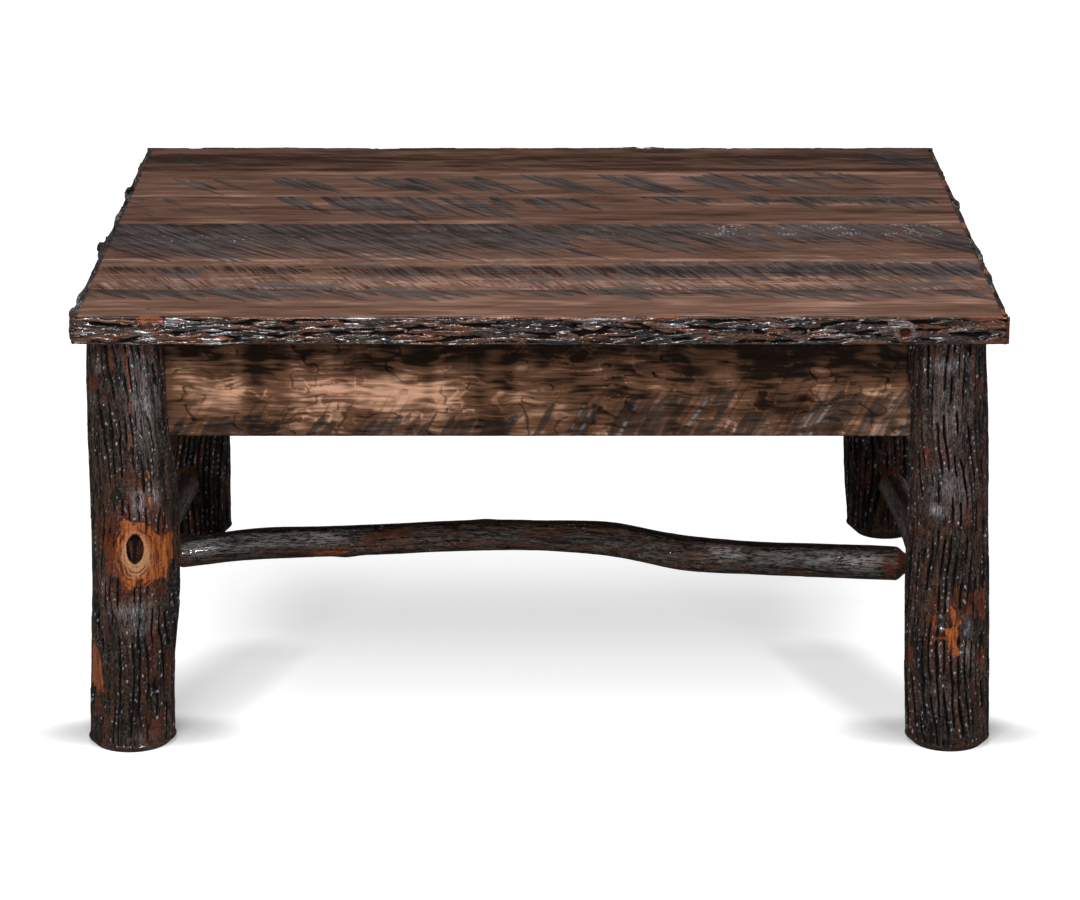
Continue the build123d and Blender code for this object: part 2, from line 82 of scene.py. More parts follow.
def noise(place, cells, seed):
    """Smooth random field from -1 to 1 over a place, with the length of a cell on each axis.

    Each corner of a cell has a random value, and between the corners the values are blended
    by the fade 6t^5 - 15t^4 + 10t^3 along each axis in turn."""
    place = [part / cell for part, cell in zip(place, cells)]
    floors = [np.floor(part) for part in place]
    steps = [part - low for part, low in zip(place, floors)]
    eases = [t * t * t * (t * (6 * t - 15) + 10) for t in steps]
    total = 0.0
    for corner in product((0, 1), repeat=len(floors)):
        weight = 1.0
        for step, ease in zip(corner, eases):
            weight = weight * (ease if step else 1 - ease)
        total = total + weight * scramble([low + step for low, step in zip(floors, corner)], seed)
    return 2 * total - 1


def layered(place, cells, seed, layers=2):
    """Noise with finer noise added: each layer has cells half as large and half the strength."""
    return sum(
        0.5 ** layer * noise(place, [cell / 2 ** layer for cell in cells], seed + 17 * layer)
        for layer in range(layers)
    )


def fade(low, high, value):
    """0 below the low limit and 1 above the high one, with 3t^2 - 2t^3 between them."""
    t = np.clip((value - low) / (high - low), 0, 1)
    return t * t * (3 - 2 * t)


def between(low, high, soft, value):
    """1 between two limits and 0 outside them, with a fade as wide as twice soft over each."""
    return fade(low - soft, low + soft, value) * (1 - fade(high - soft, high + soft, value))


def hump(*shares):
    """1 where every share is 0, and e to the power of minus the sum of their squares elsewhere."""
    return np.exp(-sum(share ** 2 for share in shares))


def humps(spots, across, along):
    """Array for each spot (middle, level, half width, half height, strength) with a hump there."""
    return [
        strength * hump((across - middle) / wide, (along - level) / tall)
        for middle, level, wide, tall, strength in spots
    ]


def smooth_curve(stops, values, at):
    """Curve through the values at their stops.

    Between two stops it is a cubic, whose slope at each stop is the slope of the line
    through that stop's neighbours."""
    stops = np.asarray(stops, float)
    values = np.asarray(values, float)
    slopes = np.gradient(values, stops)
    span = np.clip(np.searchsorted(stops, at, side="right") - 1, 0, len(stops) - 2)
    width = stops[span + 1] - stops[span]
    t = (at - stops[span]) / width
    start = (1 + 2 * t) * (1 - t) ** 2 * values[span] + t * (1 - t) ** 2 * width * slopes[span]
    finish = t * t * (3 - 2 * t) * values[span + 1] + t * t * (t - 1) * width * slopes[span + 1]
    return start + finish


# ------------------------------------------------------------------ meshes
def skin(name, rings, marks, material, nodes):
    """Closed surface through rings of points, an array of rings by points by 3 in millimetres.

    Neighbouring rings are joined by four-sided faces, the last point of a ring to its first,
    and each end ring is closed by triangles to its middle. If the volume that the faces
    enclose comes out negative, every face is turned over. Each mark is an array of rings by
    points and becomes a point attribute."""
    count, around, _ = rings.shape
    points = np.concatenate([rings.reshape(-1, 3), rings[:1].mean(1), rings[-1:].mean(1)])
    index = np.arange(count * around).reshape(count, around)
    ahead = np.roll(index, -1, 1)
    quads = np.stack([index[:-1], ahead[:-1], ahead[1:], index[1:]], -1).reshape(-1, 4)
    first = np.stack([np.full(around, len(points) - 2), ahead[0], index[0]], -1)
    last = np.stack([np.full(around, len(points) - 1), index[-1], ahead[-1]], -1)
    fans = np.concatenate([first, last])
    corners = points[quads]
    diagonals = np.cross(corners[:, 2] - corners[:, 0], corners[:, 3] - corners[:, 1])
    if ((corners.mean(1) - points.mean(0)) * diagonals).sum() < 0:
        quads = quads[:, ::-1]
        fans = fans[:, ::-1]
    loops = np.concatenate([quads.ravel(), fans.ravel()])
    starts = np.concatenate([np.arange(len(quads)) * 4, len(quads) * 4 + np.arange(len(fans)) * 3])
    mesh = bpy.data.meshes.new(name)
    mesh.vertices.add(len(points))
    mesh.vertices.foreach_set("co", (points * MILLIMETRE).astype(np.float32).ravel())
    mesh.loops.add(len(loops))
    mesh.loops.foreach_set("vertex_index", loops.astype(np.int32))
    mesh.polygons.add(len(starts))
    mesh.polygons.foreach_set("loop_start", starts.astype(np.int32))
    mesh.update(calc_edges=True)
    mesh.validate()
    mesh.polygons.foreach_set("use_smooth", np.ones(len(mesh.polygons), bool))
    for title, values in marks.items():
        values = np.concatenate([values.ravel(), [values[0].mean(), values[-1].mean()]])
        attribute = mesh.attributes.new(title, "FLOAT", "POINT")
        attribute.data.foreach_set("value", values.astype(np.float32))
    mesh.materials.append(material)
    piece = bpy.data.objects.new(name, mesh)
    bpy.context.scene.collection.objects.link(piece)
    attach(piece, "root")
    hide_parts(*nodes)
    return piece


def facing_out(where, faces, along, out, up):
    """Points of a piece along one side of the table: faces holds its distances in X and Y."""
    sign = 1 if where in ("back", "right") else -1
    if where in ("front", "back"):
        return np.stack([along, sign * (faces[1] + out), up], -1)
    return np.stack([sign * (faces[0] + out), along, up], -1)


# ------------------------------------------------------------------ shader nodes
class Flow:
    """What one output of a shader node gives. Arithmetic on it adds Math nodes."""

    def __init__(self, tree, socket):
        self.tree = tree
        self.socket = socket

    def maths(self, operation, *others, clamp=False):
        """Math node whose first input is this flow."""
        inputs = dict(enumerate((self, *others)))
        return put(self.tree, "Math", inputs, operation=operation, use_clamp=clamp)

    def __add__(self, other):
        return self.maths("ADD", other)

    def __sub__(self, other):
        return self.maths("SUBTRACT", other)

    def __mul__(self, other):
        return self.maths("MULTIPLY", other)

    def __abs__(self):
        return self.maths("ABSOLUTE")

    def from_one(self):
        """1 less this flow."""
        return put(self.tree, "Math", {0: 1.0, 1: self}, operation="SUBTRACT")

    def eased(self, low, high, to_low=0.0, to_high=1.0):
        """Smooth Map Range node."""
        inputs = {"Value": self, "From Min": low, "From Max": high, "To Min": to_low, "To Max": to_high}
        return put(self.tree, "MapRange", inputs, "Result", interpolation_type="SMOOTHSTEP")

    def blend(self, first, second):
        """Colour that goes from the first to the second as this flow goes from 0 to 1."""
        return put(self.tree, "Mix", {0: self, 6: first, 7: second}, 2, data_type="RGBA")

    def lit(self, light):
        """This colour multiplied by a brightness."""
        grey = put(self.tree, "CombineColor", {"Red": light, "Green": light, "Blue": light})
        inputs = {0: 1.0, 6: self, 7: grey}
        return put(self.tree, "Mix", inputs, 2, data_type="RGBA", blend_type="MULTIPLY")

    def raised(self, strength, distance):
        """Normal of a surface that has this flow as its height."""
        return put(self.tree, "Bump", {"Strength": strength, "Distance": distance, "Height": self})


def connect(tree, node, inputs):
    """Sets a node's inputs, by name or number, to values or to flows."""
    for title, value in inputs.items():
        if isinstance(value, Flow):
            tree.links.new(value.socket, node.inputs[title])
        else:
            node.inputs[title].default_value = value


def put(tree, kind, inputs=None, output=0, **settings):
    """Adds a node and gives one of its outputs as a flow."""
    node = tree.nodes.new("ShaderNode" + kind)
    for title, value in settings.items():
        setattr(node, title, value)
    connect(tree, node, inputs or {})
    return Flow(tree, node.outputs[output])


def object_place(tree):
    """Object coordinates, in metres."""
    return put(tree, "TexCoord", output="Object")


def stretched_place(stretch):
    """Object coordinates in cells: metres times the number of cells in a metre on each axis."""
    place = object_place(stretch.tree)
    return put(stretch.tree, "VectorMath", {0: place, 1: stretch}, operation="MULTIPLY")


def read(tree, title):
    """A number that the mesh carries at each point."""
    return put(tree, "Attribute", output="Fac", attribute_name=title)


def speckle(place, scale, detail=2.0, roughness=0.5, distortion=0.0):
    """Noise Texture over a place."""
    inputs = {"Vector": place, "Scale": scale, "Detail": detail, "Roughness": roughness}
    return put(place.tree, "TexNoise", {**inputs, "Distortion": distortion}, "Fac")


def new_group(name, inputs):
    """Empty shader node group, and its inputs as flows, made from their names and defaults."""
    tree = bpy.data.node_groups.new(name, "ShaderNodeTree")
    for title, value in inputs.items():
        kind = {1: "Float", 3: "Vector", 4: "Color"}[np.size(value)]
        socket = tree.interface.new_socket(title, in_out="INPUT", socket_type="NodeSocket" + kind)
        socket.default_value = value
    given = tree.nodes.new("NodeGroupInput").outputs
    return tree, {title: Flow(tree, given[title]) for title in inputs}


def close_group(tree, results):
    """Gives a group its outputs: a Color under that name, and a Float under any other."""
    for title in results:
        kind = "Color" if title == "Color" else "Float"
        tree.interface.new_socket(title, in_out="OUTPUT", socket_type="NodeSocket" + kind)
    connect(tree, tree.nodes.new("NodeGroupOutput"), results)
    return tree


def use(tree, group, inputs):
    """Places a group in a material and gives its outputs as flows."""
    node = tree.nodes.new("ShaderNodeGroup")
    node.node_tree = group
    connect(tree, node, inputs)
    return {socket.name: Flow(tree, socket) for socket in node.outputs}


def fibre_group():
    """Wood fibre: long streaks and short pores, both as noise that is stretched along the grain."""
    tree, given = new_group("wood fibre", {"Stretch": (8.0, 300.0, 300.0), "Wander": 0.6})
    place = stretched_place(given["Stretch"])
    return close_group(tree, {
        "Streaks": speckle(place, 1.0, 4.0, 0.62, given["Wander"]),
        "Fine": speckle(place, 3.4, 3.0, 0.7),
        "Figure": speckle(place, 0.17, 2.0, 0.5, 0.8),
    })


def varnish_group():
    """Clear varnish: a thin coat with pools, as a coat mask, and the roughness below it.

    Pools stand where fine and wide noise together pass a limit."""
    tree, given = new_group(
        "varnish", {"Amount": 0.1, "Pooling": 0.5, "Drop Scale": 260.0, "Spread": 0.0}
    )
    place = object_place(tree)
    drops = speckle(place, given["Drop Scale"], 2.0, 0.55)
    level = drops + speckle(place, 38.0, 3.0, 0.6) * 0.5 + given["Spread"] * 0.3
    coat = given["Amount"] + level.eased(0.82, 0.9) * given["Pooling"]
    return close_group(tree, {
        "Coat": coat.maths("MULTIPLY", 1.0, clamp=True),
        "Roughness": drops.eased(0.3, 0.7, 0.6, 0.42),
        "Ripple": drops,
    })


def bark_group():
    """Bark colour: grey and brown plates, near-black fissures and orange inner bark where bared.

    Plates take their own tone, streaked along the piece by stretched noise and cut by hairline
    cracks, where that noise comes near its middle value. Where the Shine mask lies, a pale
    painted sheen is laid over the bark, and the Bead mask and the strongest sheen add painted
    glints of bluish white."""
    tree, given = new_group("bark colour", {
        "Grey": (0.05, 0.045, 0.04, 1), "Brown": (0.06, 0.035, 0.022, 1),
        "Fissure": (0.0014, 0.0011, 0.0009, 1), "Inner": (0.31, 0.085, 0.018, 1),
        "Amber": (0.095, 0.019, 0.006, 1), "Knot": (0.52, 0.28, 0.145, 1),
        "Sheen": (0.15, 0.13, 0.125, 1), "Glint": (0.52, 0.58, 0.68, 1),
        "Stretch": (300.0, 300.0, 40.0), "Depth": 0.0, "Plate": 0.5, "Bare": 0.0, "Ring": 0.0,
        "Shine": 0.0, "Bead": 0.0,
    })
    fissure, amber, plate = given["Fissure"], given["Amber"], given["Plate"]
    depth, bare, shine = given["Depth"], given["Bare"], given["Shine"]
    place = stretched_place(given["Stretch"])
    fibre = speckle(place, 1.0, 4.0, 0.65, 0.4)
    fine = speckle(place, 3.1, 3.0, 0.7)
    cracks = speckle(place, 0.42, 2.0, 0.5, 1.2)
    plain = object_place(tree)
    patches = speckle(plain, 21.0, 4.0, 0.62)
    grit = speckle(plain, 800.0, 2.0, 0.6)
    colour = (plate * 0.6 + patches).eased(0.6, 1.0).blend(given["Grey"], given["Brown"])
    colour = colour.lit((fibre + fine * 0.7 + plate * 0.22).eased(0.74, 1.2, 0.1, 2.8))
    # Painted sheen: a pale colour laid where the Shine mask is, standing in for light off the varnish.
    sheen = shine * (fine + fibre).eased(0.85, 1.15, 0.15, 1.0)
    colour = (sheen * 0.9).blend(colour, given["Sheen"])
    colour = fine.eased(0.38, 0.47, 0.9, 0.0).blend(colour, fissure)
    red = patches.eased(0.5, 0.68, 0.0, 0.5) * plate.eased(0.25, 0.6)
    colour = red.blend(colour, amber)
    hairline = abs(cracks - 0.5).eased(0.005, 0.024, 0.85, 0.0)
    colour = hairline.blend(colour, fissure)
    colour = depth.eased(0.2, 0.7).blend(colour, fissure)
    wood = fibre.eased(0.36, 0.6).blend(amber, given["Inner"])
    aged = patches.eased(0.5, 0.7, 0.0, 0.65).maths("MAXIMUM", bare.eased(0.84, 1.0, 0.92, 0.0))
    wood = aged.blend(wood, amber)
    ringed = given["Ring"] * patches.eased(0.3, 0.6, 1.0, 0.5)
    wood = ringed.blend(wood, given["Knot"])
    wood = depth.eased(0.35, 0.95).blend(wood, fissure)
    colour = bare.blend(colour, wood)
    # Painted glints: bluish white specks where the Bead mask lies, and in fine streaks of the strongest
    # sheen.
    flakes = shine.eased(0.45, 0.85) * fine.eased(0.52, 0.6)
    painted_glints = given["Bead"].maths("MAXIMUM", flakes * 0.6)
    colour = (painted_glints * 0.6).blend(colour, given["Glint"])
    height = (fibre + (fine + grit) * 0.4) * (bare * 0.7).from_one()
    return close_group(tree, {"Color": colour, "Height": height})


FIBRE = fibre_group()
VARNISH = varnish_group()
BARK = bark_group()
# Bark marks. depth: how dark, with painted shade in edge hollows and under saplings. shine: painted sheen
# and pooled varnish. bead: painted glints.
BARK_MARKS = ("depth", "plate", "bare", "ring", "shine", "bead")
GLOSS = ("Amount", "Pooling", "Drop Scale")
# Bluish white of painted glints on sawn wood, laid where the bead mark is.
PAINTED_GLINT_COLOUR = (0.50, 0.51, 0.55, 1)


def blank_material(name):
    """New material with only its Principled shader, and the tree and shader to wire."""
    material = bpy.data.materials.new(name)
    material.use_nodes = True
    tree = material.node_tree
    return material, tree, tree.nodes["Principled BSDF"]


def bark_material(name, colours, stretch, gloss, bump):
    """Bark under clear varnish, told by the mesh where it is fissured, bared or ringed, and where to lay a
    painted sheen and painted glints.
    """
    material, tree, shader = blank_material(name)
    masks = {title.capitalize(): read(tree, title) for title in BARK_MARKS}
    bark = use(tree, BARK, {**colours, **masks, "Stretch": stretch})
    varnish = use(tree, VARNISH, {**dict(zip(GLOSS, gloss)), "Spread": masks["Shine"]})
    connect(tree, shader, {
        "Base Color": bark["Color"],
        "Roughness": varnish["Roughness"],
        "Coat Weight": varnish["Coat"] * masks["Depth"].eased(0.35, 0.8, 1.0, 0.0),
        "Coat Roughness": 0.12,
        "Coat IOR": 1.7,
        "Specular IOR Level": 0.1,
        "Normal": (bark["Height"] + varnish["Ripple"] * 1.1).raised(1.0, bump),
    })
    return material


def sawn_material(name, colours, stretch, gloss):
    """Sawn board, brown where it is sanded through and smoky grey where the old face is left.

    The brown runs from dark to light with the grain and the tone that the mesh carries, which
    holds painted light and shade as well as the board's own tone. The smoky mask is broken up by
    the grain, and on the aprons it also carries painted shade. Saw marks darken whatever they
    cross, and the bead mark lays painted glints."""
    material, tree, shader = blank_material(name)
    dark, middle, light, smoky, blue = colours
    marks = read(tree, "mark")
    glint = read(tree, "glint")
    fibre = use(tree, FIBRE, {"Stretch": stretch, "Wander": 1.7})
    varnish = use(tree, VARNISH, dict(zip(GLOSS, gloss)))
    grain = fibre["Streaks"] + fibre["Fine"] * 0.3
    tone = grain * 0.42 + read(tree, "tone") + fibre["Figure"] * 0.5
    colour = tone.eased(0.1, 0.6).blend(dark, middle)
    colour = tone.eased(0.55, 1.1).blend(colour, light)
    old = (read(tree, "smoke") + (grain - 0.65) * 0.4).eased(0.1, 0.9)
    old_colour = marks.eased(0.1, 0.8).blend(smoky, blue).lit(tone.eased(0.2, 0.8, 0.55, 1.7))
    colour = (old * 0.9).blend(colour, old_colour)
    colour = colour.lit(grain.eased(0.45, 0.85, 0.88, 1.12) * marks.eased(0.1, 0.9, 1.05, 0.6))
    spots = glint * varnish["Ripple"].eased(0.56, 0.64)
    # Painted glints of bluish white where the bead mark lies.
    connect(tree, shader, {
        "Base Color": (read(tree, "bead") * 0.85).blend(colour, PAINTED_GLINT_COLOUR),
        "Roughness": varnish["Roughness"],
        "Coat Weight": varnish["Coat"].maths("ADD", spots, clamp=True),
        "Coat Roughness": 0.22,
        "Coat IOR": 1.4,
        "Specular IOR Level": 0.03,
        "Normal": (grain * 0.5 + glint * varnish["Ripple"] * 2.0).raised(0.8, 0.0006),
    })
    return material


def planed_material(name, pale, dark, stretch):
    """Plain planed hardwood of the hidden frame."""
    material, tree, shader = blank_material(name)
    fibre = use(tree, FIBRE, {"Stretch": stretch, "Wander": 1.1})
    colour = fibre["Streaks"].eased(0.35, 0.68).blend(pale, dark)
    connect(tree, shader, {
        "Base Color": fibre["Figure"].eased(0.4, 0.7, 0.0, 0.45).blend(colour, dark),
        "Roughness": fibre["Fine"].eased(0.3, 0.7, 0.62, 0.48),
        "Normal": fibre["Fine"].raised(0.4, 0.0003),
    })
    return material


def steel_material():
    """Dull zinc-plated steel with darker blotches."""
    material, tree, shader = blank_material("dull zinc steel")
    blotches = speckle(object_place(tree), 420.0, 3.0, 0.6)
    connect(tree, shader, {
        "Base Color": blotches.eased(0.35, 0.7).blend((0.33, 0.32, 0.31, 1), (0.12, 0.11, 0.10, 1)),
        "Roughness": blotches.eased(0.3, 0.7, 0.32, 0.55),
        "Metallic": 0.9,
    })
    return material


# ------------------------------------------------------------------ bark relief
def stepped(place):
    """A place in cells whose changes are gathered in the middle third of each cell."""
    low = np.floor(place)
    return low + fade(0.33, 0.67, place - low)


def dots(across, along, radius, chance, seed, wrap=1e9):
    """Small round beads, at most one in each cell of a grid, each moved about in its cell.

    Places and radius are in cells. Over a bead the value is its own strength times the square
    root of 1 - (distance / radius)^2, and elsewhere 0."""
    low_u, low_v = np.floor(across), np.floor(along)
    own = [scramble((np.mod(low_u, wrap), low_v), seed + which) for which in range(5)]
    gap_u = across - low_u - 0.3 - 0.4 * own[0]
    gap_v = along - low_v - 0.3 - 0.4 * own[1]
    size = radius * (0.55 + 0.45 * own[2])
    there = (own[3] < chance) * (0.35 + 0.65 * own[4] ** 2)
    return there * np.sqrt(np.clip(1 - (gap_u ** 2 + gap_v ** 2) / size ** 2, 0, 1))


def bark_relief(solid, lane, lane_count, lane_width, style, seed, loose=0.0):
    """Depth below the bark's outermost skin, in millimetres, and its colour masks.

    Bark is divided into lanes that sway across the piece. Between two lanes lies a fissure
    with steep jagged sides, which noise opens and closes along its length. A lane is cut into
    plates at its own random steps. Each plate lies at its own random level, tilted across the
    lane, and crowned as 4 share (1 - share). Noise stretched along the piece adds fine ribs,
    and wide noise adds lumps. Beads of varnish stand beside the open fissures, and the mask of
    them that is given back lays painted glints."""
    along, p, q = solid
    sway = 0.75 * noise(solid, (90, 24, 24), seed) + 0.22 * noise(solid, (24, 9, 9), seed + 1)
    sway = sway + 0.16 * noise((stepped(along / 19), p, q), (1, 7, 7), seed + 12)
    place = lane + style["sway"] * sway
    number = np.floor(place)
    share = place - number
    number = np.mod(number, lane_count)
    side = np.mod(number + (share > 0.5), lane_count)
    signed = np.where(share > 0.5, share - 1, share) * lane_width
    distance = np.abs(signed) + 0.38 * noise(solid, (3.6, 2.6, 2.6), seed + 11)
    own = scramble((side,), seed + 2)
    opening = noise((along / style["fissure_length"] + 37 * own, p, q), (1, 30, 30), seed + 3)
    opening = fade(-0.12, 0.22, opening + style["split"] - 0.3 + 0.6 * own + loose)
    width = style["fissure_width"] * (0.4 + 0.75 * opening)
    fissure = opening * (1 - fade(0.65 * width, 1.1 * width, distance))
    step = along / style["plate_length"] + 9 * scramble((number,), seed + 4)
    step = step + 0.3 * noise(solid, (11, 4, 4), seed + 5)
    plate_number = np.floor(step)
    plate = scramble((number, plate_number), seed + 6)
    lean = scramble((number, plate_number), seed + 7) - 0.5
    end_gap = np.minimum(step - plate_number, plate_number + 1 - step) * style["plate_length"]
    end_crack = (1 - fade(0.3, 1.2, end_gap)) * fade(0.6, 0.7, plate)
    crown = 1 - 4 * share * (1 - share)
    beside = signed / 3.2 + 0.5 + 7 * side
    beads = dots(beside, along / style["bead_pitch"] + 5 * own, 0.25, 0.34, seed + 20)
    beads = beads * fade(0.3, 0.7, opening) * (fissure < 0.5)
    depth = style["furrow"] * fissure + 0.5 * end_crack
    depth = depth + style["terrace"] * (plate + lean * (share - 0.5) * 1.6)
    depth = depth + style["crown"] * crown ** 2
    depth = depth + style["fine"] * (0.5 + 0.4 * layered(solid, (14, 1.7, 1.7), seed + 8))
    depth = depth + style["ridge"] * np.abs(noise(solid, (24, 3.4, 3.4), seed + 9))
    depth = depth + style["lump"] * (0.6 + 0.5 * layered(solid, (80, 34, 34), seed + 10))
    dark = np.clip(fissure * 1.15 + 0.5 * end_crack + 0.15 * crown ** 4, 0, 1)
    return np.maximum(depth - 0.3 * beads, 0), dark, plate, beads


# ------------------------------------------------------------------ legs
# A style of bark: how far its lanes sway, how readily they split, the fissures' width and
# length, the plates' length, the beads' pitch, and depths of what the relief is made of
FRONT_LEFT_STYLE = {
    "sway": 1.0, "split": -0.14, "fissure_width": 1.0, "fissure_length": 20.0, "plate_length": 46.0,
    "bead_pitch": 6.5, "furrow": 1.5, "terrace": 0.7, "crown": 0.4, "fine": 0.55, "ridge": 0.5, "lump": 0.4,
}
FRONT_RIGHT_STYLE = {
    "sway": 0.6, "split": 0.14, "fissure_width": 1.15, "fissure_length": 26.0, "plate_length": 40.0,
    "bead_pitch": 7.0, "furrow": 2.1, "terrace": 0.6, "crown": 0.7, "fine": 0.4, "ridge": 0.3, "lump": 0.4,
}
RIBS = 18                       # broad ribs round a log, as the CAD model has them
RIB_DEPTH = 2.6
RIB_SWAY = 0.45
RIB_TURN = 2.1
FURROW_TURN = 1.7
# Places on a log are distance round it from the middle of its front, and height.
# log: how far the middle drifts outwards in X and Y, and the radius, at even heights.
# bevel: the foot's. phase: turn of the broad ribs. around and along: points of the mesh.
# loose: spots where fissures open or close: middle, height, half width, half height, change.
# scars: how far the bark is bared, and the outline of the place.
# slits: middle, lowest and highest height, width and strength of a narrow bared strip.
# shines: spots of painted sheen, where the varnish also pools, given as loose spots are. pits: outlines of
# holes.
LEGS = {
    "front_left": {
        "log": (
            (7.0, 1.8, 44.6), (3.8, 1.2, 44.0), (-1.5, 0.6, 45.4),
            (-2.2, 0.2, 45.1), (1.8, 0.0, 41.6), (0.8, 0.0, 39.6),
        ),
        "bevel": 6.0, "phase": 0.4, "seed": 11, "around": 288, "along": 330,
        "style": FRONT_LEFT_STYLE,
        "loose": ((26, 75, 22, 55, 0.55), (-30, 110, 24, 70, -0.4), (30, 270, 16, 50, 0.3)),
        "knot": (3.0, 217.5),
        "scars": (
            (0.36, (
                (-30, 248), (-10, 264), (4, 282), (14, 296), (33, 278), (35, 253), (50, 232), (50, 200),
                (-30, 200),
            )),
            (0.22, ((-40, 190), (-8, 176), (30, 186), (36, 170), (22, 150), (-16, 152), (-40, 170))),
            (0.86, (
                (-11, 240), (10, 236), (10, 176), (3, 176), (-7, 172), (-11, 178), (-14, 186), (-28, 194),
                (-28, 212), (-35, 216), (-28, 234), (-21, 232), (-13, 232),
            )),
            (1.0, (
                (-11, 247), (-7, 252), (1, 246), (16, 246), (20, 240), (27, 232), (32, 228), (41, 230),
                (51, 229), (50, 200), (41, 194), (38, 182), (24, 184), (17, 178), (3, 176), (-6, 173),
                (-12, 188), (-19, 206), (-15, 222),
            )),
            (0.85, ((69, 240), (73, 240), (72, 202), (62, 204))),
            (0.97, (
                (-58, 104), (-47, 114), (-40, 106), (-33, 90), (-30, 62), (-41, 61), (-52, 66), (-62, 60),
                (-64, 84),
            )),
        ),
        "slits": (
            (7.0, 318.0, 426.0, 2.2, 0.9), (-38.0, 376.0, 426.0, 14.0, 0.45),
            (21.0, 258.0, 300.0, 3.4, 1.0), (-2.0, 262.0, 292.0, 4.0, 0.5), (34.0, 240.0, 262.0, 2.0, 0.8),
        ),
        "shines": (
            (9.0, 268.0, 8.0, 15.0, 1.0), (25.0, 272.0, 7.0, 12.0, 0.9), (4.0, 152.0, 24.0, 12.0, 0.9),
            (6.0, 136.0, 18.0, 10.0, 0.6), (-30.0, 400.0, 8.0, 6.0, 0.6), (-38.0, 366.0, 8.0, 8.0, 0.6),
            (24.0, 366.0, 20.0, 50.0, 0.7), (16.0, 16.0, 20.0, 8.0, 0.4), (-34.0, 176.0, 8.0, 14.0, 0.5),
        ),
        "pits": (),
    },
    "front_right": {
        "log": (
            (6.8, 1.8, 42.8), (4.0, 1.2, 44.4), (1.5, 0.6, 43.3),
            (0.0, 0.2, 41.4), (-2.2, 0.0, 40.8), (-6.6, 0.0, 39.4),
        ),
        "bevel": 6.5, "phase": 2.0, "seed": 53, "around": 288, "along": 330,
        "style": FRONT_RIGHT_STYLE,
        "loose": ((0, 70, 60, 50, 0.15), (-30, 300, 20, 90, -0.2)),
        "scars": (
            (0.25, (
                (-30, 128), (-16, 166), (4, 172), (26, 172), (30, 146), (14, 100), (0, 92), (-20, 88),
                (-28, 106),
            )),
            (1.0, (
                (-2, 160), (-2, 154), (0, 146), (1, 137), (-6, 132), (-6, 126), (-18, 124), (-18, 119),
                (-8, 122), (-4, 120), (-3, 114), (-1, 105), (7, 104), (9, 111), (5, 120), (8, 125),
                (10, 130), (8, 134), (11, 140), (9, 145), (5, 151), (2, 157),
            )),
            (0.9, ((-15, 156), (-18, 155), (-21, 141), (-22, 134), (-18, 136), (-15, 148))),
            (0.8, ((19, 158), (16, 151), (12, 146), (15, 145), (20, 150))),
            (0.8, (
                (43, 178), (48, 164), (45, 149), (39, 140), (31, 144), (27, 154), (26, 166), (29, 171),
                (38, 168),
            )),
            (0.65, ((-55, 114), (-49, 114), (-43, 104), (-42, 87), (-47, 84), (-53, 98))),
            (0.5, ((30, 116), (42, 108), (40, 83), (32, 86))),
        ),
        "slits": (
            (44.0, 250.0, 330.0, 5.0, 0.45), (36.0, 200.0, 240.0, 6.0, 0.4), (-10.0, 300.0, 330.0, 2.0, 0.6),
            (18.0, 270.0, 300.0, 2.0, 0.6),
        ),
        "shines": (
            (-10.0, 134.0, 5.0, 4.0, 1.0), (-11.0, 146.0, 3.0, 2.5, 1.0), (18.0, 132.0, 7.0, 12.0, 1.0),
            (16.0, 108.0, 8.0, 10.0, 0.7), (-11.0, 106.0, 3.0, 12.0, 0.7), (-4.0, 160.0, 3.0, 10.0, 0.8),
            (-4.0, 405.0, 26.0, 8.0, 0.8), (-4.0, 350.0, 22.0, 40.0, 0.45), (0.0, 280.0, 24.0, 30.0, 0.6),
            (-4.0, 60.0, 16.0, 16.0, 0.4), (-14.0, 256.0, 12.0, 8.0, 0.9),
        ),
        "pits": (
            ((-14, 149), (-3, 149), (-1, 138), (-8, 133), (-16, 134)),
            ((10, 138), (20, 143), (30, 141), (30, 124), (20, 116), (9, 123)),
        ),
    },
    "back_left": {
        "log": (
            (2.3, 0.8, 43.6), (0.8, 0.6, 43.2), (-0.8, 0.2, 42.4),
            (-2.0, -0.2, 41.7), (-1.4, -0.4, 41.0), (-0.6, 0.0, 39.4),
        ),
        "bevel": 8.0, "phase": 3.5, "seed": 101, "around": 192, "along": 220,
        "style": FRONT_RIGHT_STYLE,
        "loose": (), "scars": (), "pits": (), "slits": ((28.0, 150.0, 230.0, 5.0, 0.7),),
        "shines": ((-6.0, 290.0, 12.0, 30.0, 0.8),),
    },
    "back_right": {
        "log": (
            (1.0, 1.6, 43.6), (-5.0, 1.2, 44.0), (-7.4, 0.4, 43.6),
            (-6.2, 0.2, 42.8), (-4.4, 0.0, 41.8), (-3.6, 0.0, 40.4),
        ),
        "bevel": 11.0, "phase": 5.0, "seed": 151, "around": 192, "along": 220,
        "style": FRONT_RIGHT_STYLE,
        "loose": (), "scars": (), "pits": (), "slits": ((-5.0, 200.0, 240.0, 4.0, 0.7),),
        "shines": ((4.0, 270.0, 14.0, 40.0, 0.8),),
    },
}


